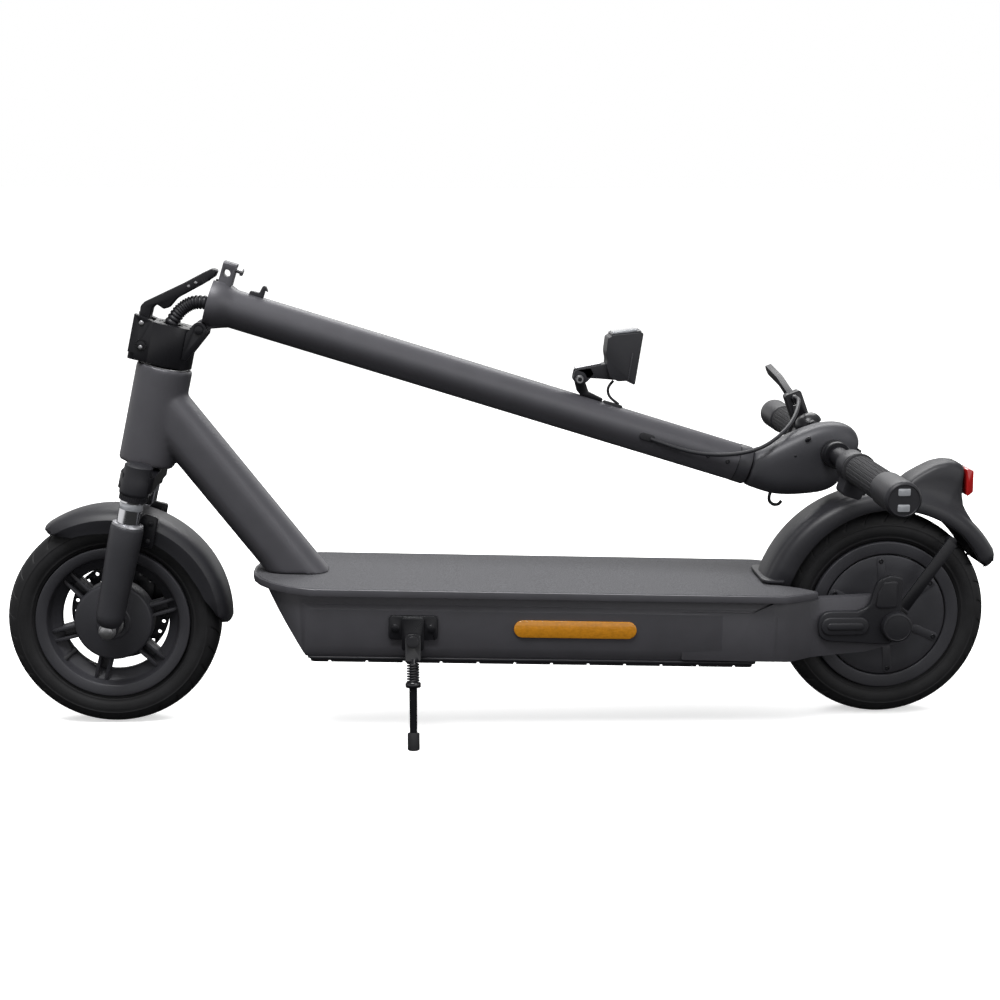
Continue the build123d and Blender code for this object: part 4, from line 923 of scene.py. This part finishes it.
def make_cables():
    """Brake cable, lamp lead, and the corrugated conduit that bends over the fold."""
    bm = bmesh.new()
    tube(bm, WHOLE, route_line(BRAKE_ROUTE, 12), 2.4, 14)
    tube(bm, WHOLE, route_line(LIGHT_ROUTE, 10), 1.7, 12)
    finished("brake_cable_and_lead", bm, "control_cables", smooth=70)
    line = route_line(CONDUIT_ROUTE, 48)
    ridges = 14
    bm = bmesh.new()
    tube(bm, WHOLE, line, lambda share: 8.4 - 1.2 * (0.5 + 0.5 * cos(2 * pi * ridges * share)) ** 2, 32)
    piece = as_piece("corrugated_conduit", bm)
    piece.data.materials.append(FINISH["black_plastic"])
    piece.data.shade_smooth()
    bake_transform(piece)
    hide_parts("conduit")
    shaped.add("conduit")


# ------------------------------------------------------------------ stem
def make_stem_trim():
    """Seam ring and screws on the tube, and the small fittings, each in its own material."""
    softened("stem_tube", 1.4)
    centre = stem @ Matrix.Translation((HINGE_BEHIND, 0, 0))
    bm = bmesh.new()
    lathe(bm, centre, [(22.9, 660.6), (23.25, 660.8), (23.25, 661.8), (22.9, 662)], steps=96, closed=True)
    for side in (1, -1):
        flank = stem_side if side > 0 else stem_side @ Matrix.Rotation(pi, 4, "X")
        for along in (622.6, 647.7):
            socket_screw(bm, flank, 2.8, 22, 23.6, (along, side * HINGE_BEHIND))
    finished("stem_seam_and_screws", bm, "stem_tube", slot="black_metal", stands_for=False)
    bm = bmesh.new()
    sleeve = [(22.9, 661.8), (23.3, 662), (23.5, 662.6), (23.5, 675.6), (23.1, 677), (22.9, 677)]
    lathe(bm, centre, sleeve, steps=96, closed=True)
    finished("cockpit_neck_sleeve", bm, "cockpit_shell", slot="cast_grey", stands_for=False)
    bm = bmesh.new()
    lathe(
        bm, stem @ Matrix.Translation((78, 0, 0)),
        [(0, 21), (3, 21), (3, 25.4), (4.8, 26), (5.1, 27), (4.6, 29.2), (2.6, 29.9), (2.2, 28.6), (0, 28.6)],
        steps=32,
    )
    finished("lock_screw", bm, "stem_fittings", slot="steel")
    bm = bmesh.new()
    lathe(
        bm, stem @ Matrix.Translation((50, 0, 0)),
        [(0, -1.05), (3.4, -1), (4.6, -0.6), (5, 0), (5, 0.4), (0, 0.4)],
        steps=32,
    )
    for rise, inset in ((0, 0), (1.6, 1.6)):
        prism(bm, stem_side, slot_outline(20 - inset, 9 - inset, (545, 33)), 21.4, 23.6 + rise)
        prism(bm, stem_top, slot_outline(26 - inset, 12 - inset, (496, 0)), 55, 56.9 + rise)
    finished(
        "stop_and_grommets", bm, "stem_fittings", rounding(0.6, 35, 2), slot="grip_rubber", stands_for=False
    )
    bm = bmesh.new()
    clip = [(43, 55), (43, 60), (54, 60.6), (56, 70), (59.6, 70), (64, 64), (60, 65.6), (60, 55)]
    prism(bm, stem_side, rounded(clip, [1, 2, 1.5, 2.4, 2.4, 0.6, 1, 1]), -5, 5)
    finished("cable_clip", bm, "stem_fittings", rounding(0.7, 40, 2), slot="black_plastic", stands_for=False)
    bm = bmesh.new()
    hook = [(716, 13, 0), (716.2, 5, 0), (718.8, -0.7, 0), (724.5, -3, 0), (730.2, -0.8, 0), (732.6, 4.4, 0)]
    tube(bm, stem_side, smooth_line(hook), 2.1, 14)
    finished("stem_hook", bm, "stem_fittings", rounding(0.5, 50, 2), slot="black_metal", stands_for=False)


# ------------------------------------------------------------------ cockpit
def make_cockpit():
    """Shell lofted from the round stem to the slanted display end."""
    # Each row: low point, high point (along, above), half width, squareness.
    rows = [
        (STEM_LENGTH, 10.5, STEM_LENGTH, 56.2, STEM_RADIUS, 2), (686, 10, 684, 58.5, 23.6, 2.3),
        (700, 9.5, 692, 64.5, 24.6, 2.7), (714, 9.6, 704, 75.5, 25.5, 3), (726, 11.8, 718, 88.5, 26, 3.2),
        (740, 16, 734, 101.5, 26, 3.4), (756, 22, 748, 110.5, 26, 3.4), (771, 28.6, 762, 116, 26, 3.4),
        (780, 35, 774, 117.8, 25.6, 3.4), (786, 42, 783, 116.4, 24.8, 3.4), (790, 52.5, 790, 112.4, 23.6, 3.4),
        (793.2, 68, 794.6, 106, 22.2, 3.6), (794.6, 73, 796.2, 101, 20.8, 4),
    ]
    sides = 56
    bm = bmesh.new()
    rings = []
    for low_along, low_above, high_along, high_above, half, square in rows:
        points = []
        for k in range(sides):
            angle = 2 * pi * k / sides
            across = half * copysign(abs(cos(angle)) ** (2 / square), cos(angle))
            share = 0.5 + 0.5 * copysign(abs(sin(angle)) ** (2 / square), sin(angle))
            along = low_along + (high_along - low_along) * share
            above = low_above + (high_above - low_above) * share
            points.append((above, across, along))
        rings.append(ring_of(bm, stem, points))
    skin(bm, rings)
    bm.faces.new(rings[0])
    bm.faces.new(rings[-1])
    rounder = ("SUBSURF", {"levels": 1, "render_levels": 1})
    finished("cockpit_housing", bm, "cockpit_shell", rounder, slot="cast_grey", smooth=50)
    bm = bmesh.new()
    for side in (1, -1):
        prism(bm, stem_side, slot_outline(8, 5.4, (732, 88), 60), side * 24.4, side * 25.9)
        disc(bm, stem_side, 1.5, side * 24.6, side * 26.1, (724, 64), 20)
    finished(
        "cockpit_side_windows", bm, "cockpit_shell", rounding(0.4, 40, 2), slot="gloss_black", stands_for=False
    )
    softened("display", 1.2)
    softened("power_button", 0.9)


def make_bar():
    """Black bar with clamp collars, block-patterned grips, and lamps in the bar ends."""
    bm = bmesh.new()
    lathe(bm, bar, [(9, -307), (11.1, -307), (11.1, 307), (9, 307)], steps=48, closed=True)
    collar = [
        (11, 25), (16, 25), (17, 26.2), (17, 32), (14.6, 33), (14.6, 35), (16.4, 36), (16.4, 42.6), (15.4, 44),
        (11, 44),
    ]
    for side in (1, -1):
        lathe(bm, bar, [(r, side * y) for r, y in collar], steps=64, closed=True)
    finished("black_handlebar", bm, "handlebar", slot="black_metal", smooth=40)

    bm = bmesh.new()
    pads_around = 24
    pad_height = 0.7
    pad_edges = ((0, 0), (1.6, 1), (11, 1), (12.6, 0))
    around = [(360 / pads_around * pad + turn, up) for pad in range(pads_around) for turn, up in pad_edges]
    # Each row: place along the bar, radius, and whether the pads stand up there.
    rows = [(140, 11.3, 0), (140, 18.7, 0), (140.8, 19.4, 0), (143.2, 19.4, 0), (144, 18.7, 0), (144.4, 16.8, 0)]
    for pad in range(20):
        first = 146.2 + 5.2 * pad
        rows += [(first, 16.8, 0), (first + 0.5, 16.8, 1), (first + 3.7, 16.8, 1), (first + 4.2, 16.8, 0)]
    rows += [(251, 16.8, 0), (251.8, 15.8, 0), (251.8, 11.3, 0)]
    for side in (1, -1):
        rings = []
        for along, radius, raised in rows:
            points = []
            for turn, up in around:
                size = radius + pad_height * raised * up
                points.append((size * cos(radians(turn)), size * sin(radians(turn)), side * along))
            rings.append(ring_of(bm, bar, points))
        skin(bm, rings, closed_along=True)
    finished("patterned_grips", bm, "grips", smooth=38)

    bodies, windows = bmesh.new(), bmesh.new()
    end_cap = [
        (11.2, 252.4), (16.4, 252.4), (18.6, 254.2), (19.2, 258), (19.4, 300), (19.6, 314), (19.2, 317.4),
        (17.6, 319.2), (16.8, 319.6), (16.2, 318.6), (0, 318.9),
    ]
    upright = bar @ Matrix.Rotation(radians(STEM_SLOPE), 4, "Z")
    for side in (1, -1):
        lathe(bodies, bar, [(r, side * y) for r, y in end_cap], steps=72)
        for low in (4.6, -12.2):
            window = rounded([(-6.4, low), (6.4, low), (6.4, low + 7.6), (-6.4, low + 7.6)], 1.6)
            prism(windows, upright, window, side * 318.2, side * 319.5)
    finished("bar_end_bodies", bodies, "bar_end_signals", smooth=40)
    finished(
        "bar_end_windows", windows, "bar_end_signals", rounding(0.3, 40, 2), slot="clear_lens", stands_for=False
    )


def make_bar_fittings():
    """Switch pod, throttle, bell and brake lever."""
    softened("switch_pod", 2)
    softened("throttle_housing", 1.4)
    softened("throttle_lever", 1.6)
    softened("brake_perch", 1.2)
    softened("brake_lever", 1.8, slot="black_plastic")
    reach_angle = radians(128)
    reach = (bar.to_3x3() @ Vector((cos(reach_angle), sin(reach_angle), 0))).normalized()
    perch = bar_point + Vector((0, -0.124, 0)) + reach * 0.048
    lever = local(perch, -LEFT, (-LEFT).cross(reach))
    bm = bmesh.new()
    lathe(
        bm, lever @ Matrix.Translation((103.6, 29, 0)),
        [(0, 4.3), (3.4, 4.1), (6, 2.8), (6.9, 0), (6, -2.8), (3.4, -4.1), (0, -4.3)],
        steps=40,
    )
    finished("brake_lever_tip", bm, "brake_lever", slot="grip_rubber", stands_for=False)
    bm = bmesh.new()
    dome = local(bar_point + Vector((0, -0.078, 0)) + reach * 0.022, LEFT, reach)
    lathe(
        bm, dome,
        [
            (0, 13.9), (4.6, 13.6), (9.6, 12), (13.6, 8.8), (16.1, 4.6), (16.9, 1.4), (16.9, 0), (15.7, 0),
            (15.5, 1.4), (12, 8), (0, 11.8),
        ],
        steps=72,
    )
    finished("bell_dome", bm, "bell", slot="black_metal", smooth=50)
    bm = bmesh.new()
    clamp = [(11.2, -83), (14, -83), (14.5, -82.4), (14.5, -73.6), (14, -73), (11.2, -73)]
    lathe(bm, bar, clamp, steps=56, closed=True)
    lathe(bm, dome, [(0, -10), (6, -10), (6, -1), (8, 0.5), (8, 4), (0, 4)], steps=40)
    finished("bell_clamp", bm, "bell", rounding(0.4, 40, 2), slot="black_plastic", stands_for=False)


def make_headlight():
    """Lamp on its tilting arm: grey bezel, bright arm strip, a rib in each flank, a steel pivot screw."""
    lamp_half = 18.9
    bm = bmesh.new()
    head = rounded(
        [
            (480, 88), (491, 86.6), (500, 90), (511.6, 88), (502, 151.6), (468, 137.4), (463.4, 132),
            (466.5, 115), (471, 106), (473, 98),
        ],
        [2, 5, 4, 2, 3, 5, 3, 18, 10, 3],
    )
    prism(bm, stem_side, head, -lamp_half, lamp_half)
    arm = rounded(
        [
            (454.8, 78.6), (468, 82), (491, 87), (484, 104), (471, 101.6), (440.6, 85.6), (442, 83.8),
            (450, 83.4),
        ],
        [1, 12, 2, 2, 6, 1, 1, 3],
    )
    prism(bm, stem_side, arm, -10, 10)
    ear = rounded([(438.4, 84), (439.8, 70), (451, 68.6), (457, 75), (462, 86), (456, 92)], [4, 7, 7, 5, 2, 2])
    for side in (1, -1):
        prism(bm, stem_side, ear, side * 5.6, side * 10)
    finished("headlight_shell", bm, "headlight_body", rounding(1.6, 40, 3), slot="black_plastic")
    softened("headlight_bracket", 0.9)
    bm = bmesh.new()
    lens = rounded([(468, 138), (494, 150.2), (494.4, 153), (467, 140.4)], 0.8)
    prism(bm, stem_side, lens, -15, 15)
    finished("headlight_glass", bm, "headlight_lens", rounding(0.8, 40, 3))
    bm = bmesh.new()
    bezel = rounded([(466.4, 136), (499, 150.6), (499.4, 152.4), (466.2, 138.4)], 0.6)
    prism(bm, stem_side, bezel, -17.4, 17.4)
    for side in (1, -1):
        prism(bm, stem_side, slot_outline(33, 1.5, (499.4, 108), 99), side * 18.4, side * 19.9)
    finished(
        "headlight_bezel", bm, "headlight_body", rounding(0.5, 40, 2), slot="cast_grey", stands_for=False
    )
    bm = bmesh.new()
    strip = rounded([(438.6, 84.6), (466.4, 99.6), (465.8, 101), (437.9, 86)], 0.6)
    prism(bm, stem_side, strip, -8.4, 8.4)
    finished(
        "headlight_arm_strip", bm, "headlight_body", rounding(0.4, 40, 2), slot="alloy", stands_for=False
    )
    bm = bmesh.new()
    socket_screw(bm, stem_side, 5.2, 11, 14.4, (447, 75))
    finished("headlight_pivot_screw", bm, "headlight_bracket", slot="steel", stands_for=False)


make_tyre("front_tyre", front_wheel)
make_tyre("rear_tyre", rear_wheel)
make_front_rim()
make_motor_covers()
make_rear_fender()
make_front_fender()
make_fork()
make_neck()
make_deck()
make_axle_covers()
make_kickstand()
make_fold_joint()
make_cables()
make_stem_trim()
make_cockpit()
make_bar()
make_bar_fittings()
make_headlight()
softened("brake_rotor", 0.3, slot="cast_grey")
for node in sorted(set(frame["nodes"]) - shaped):
    softened(node)
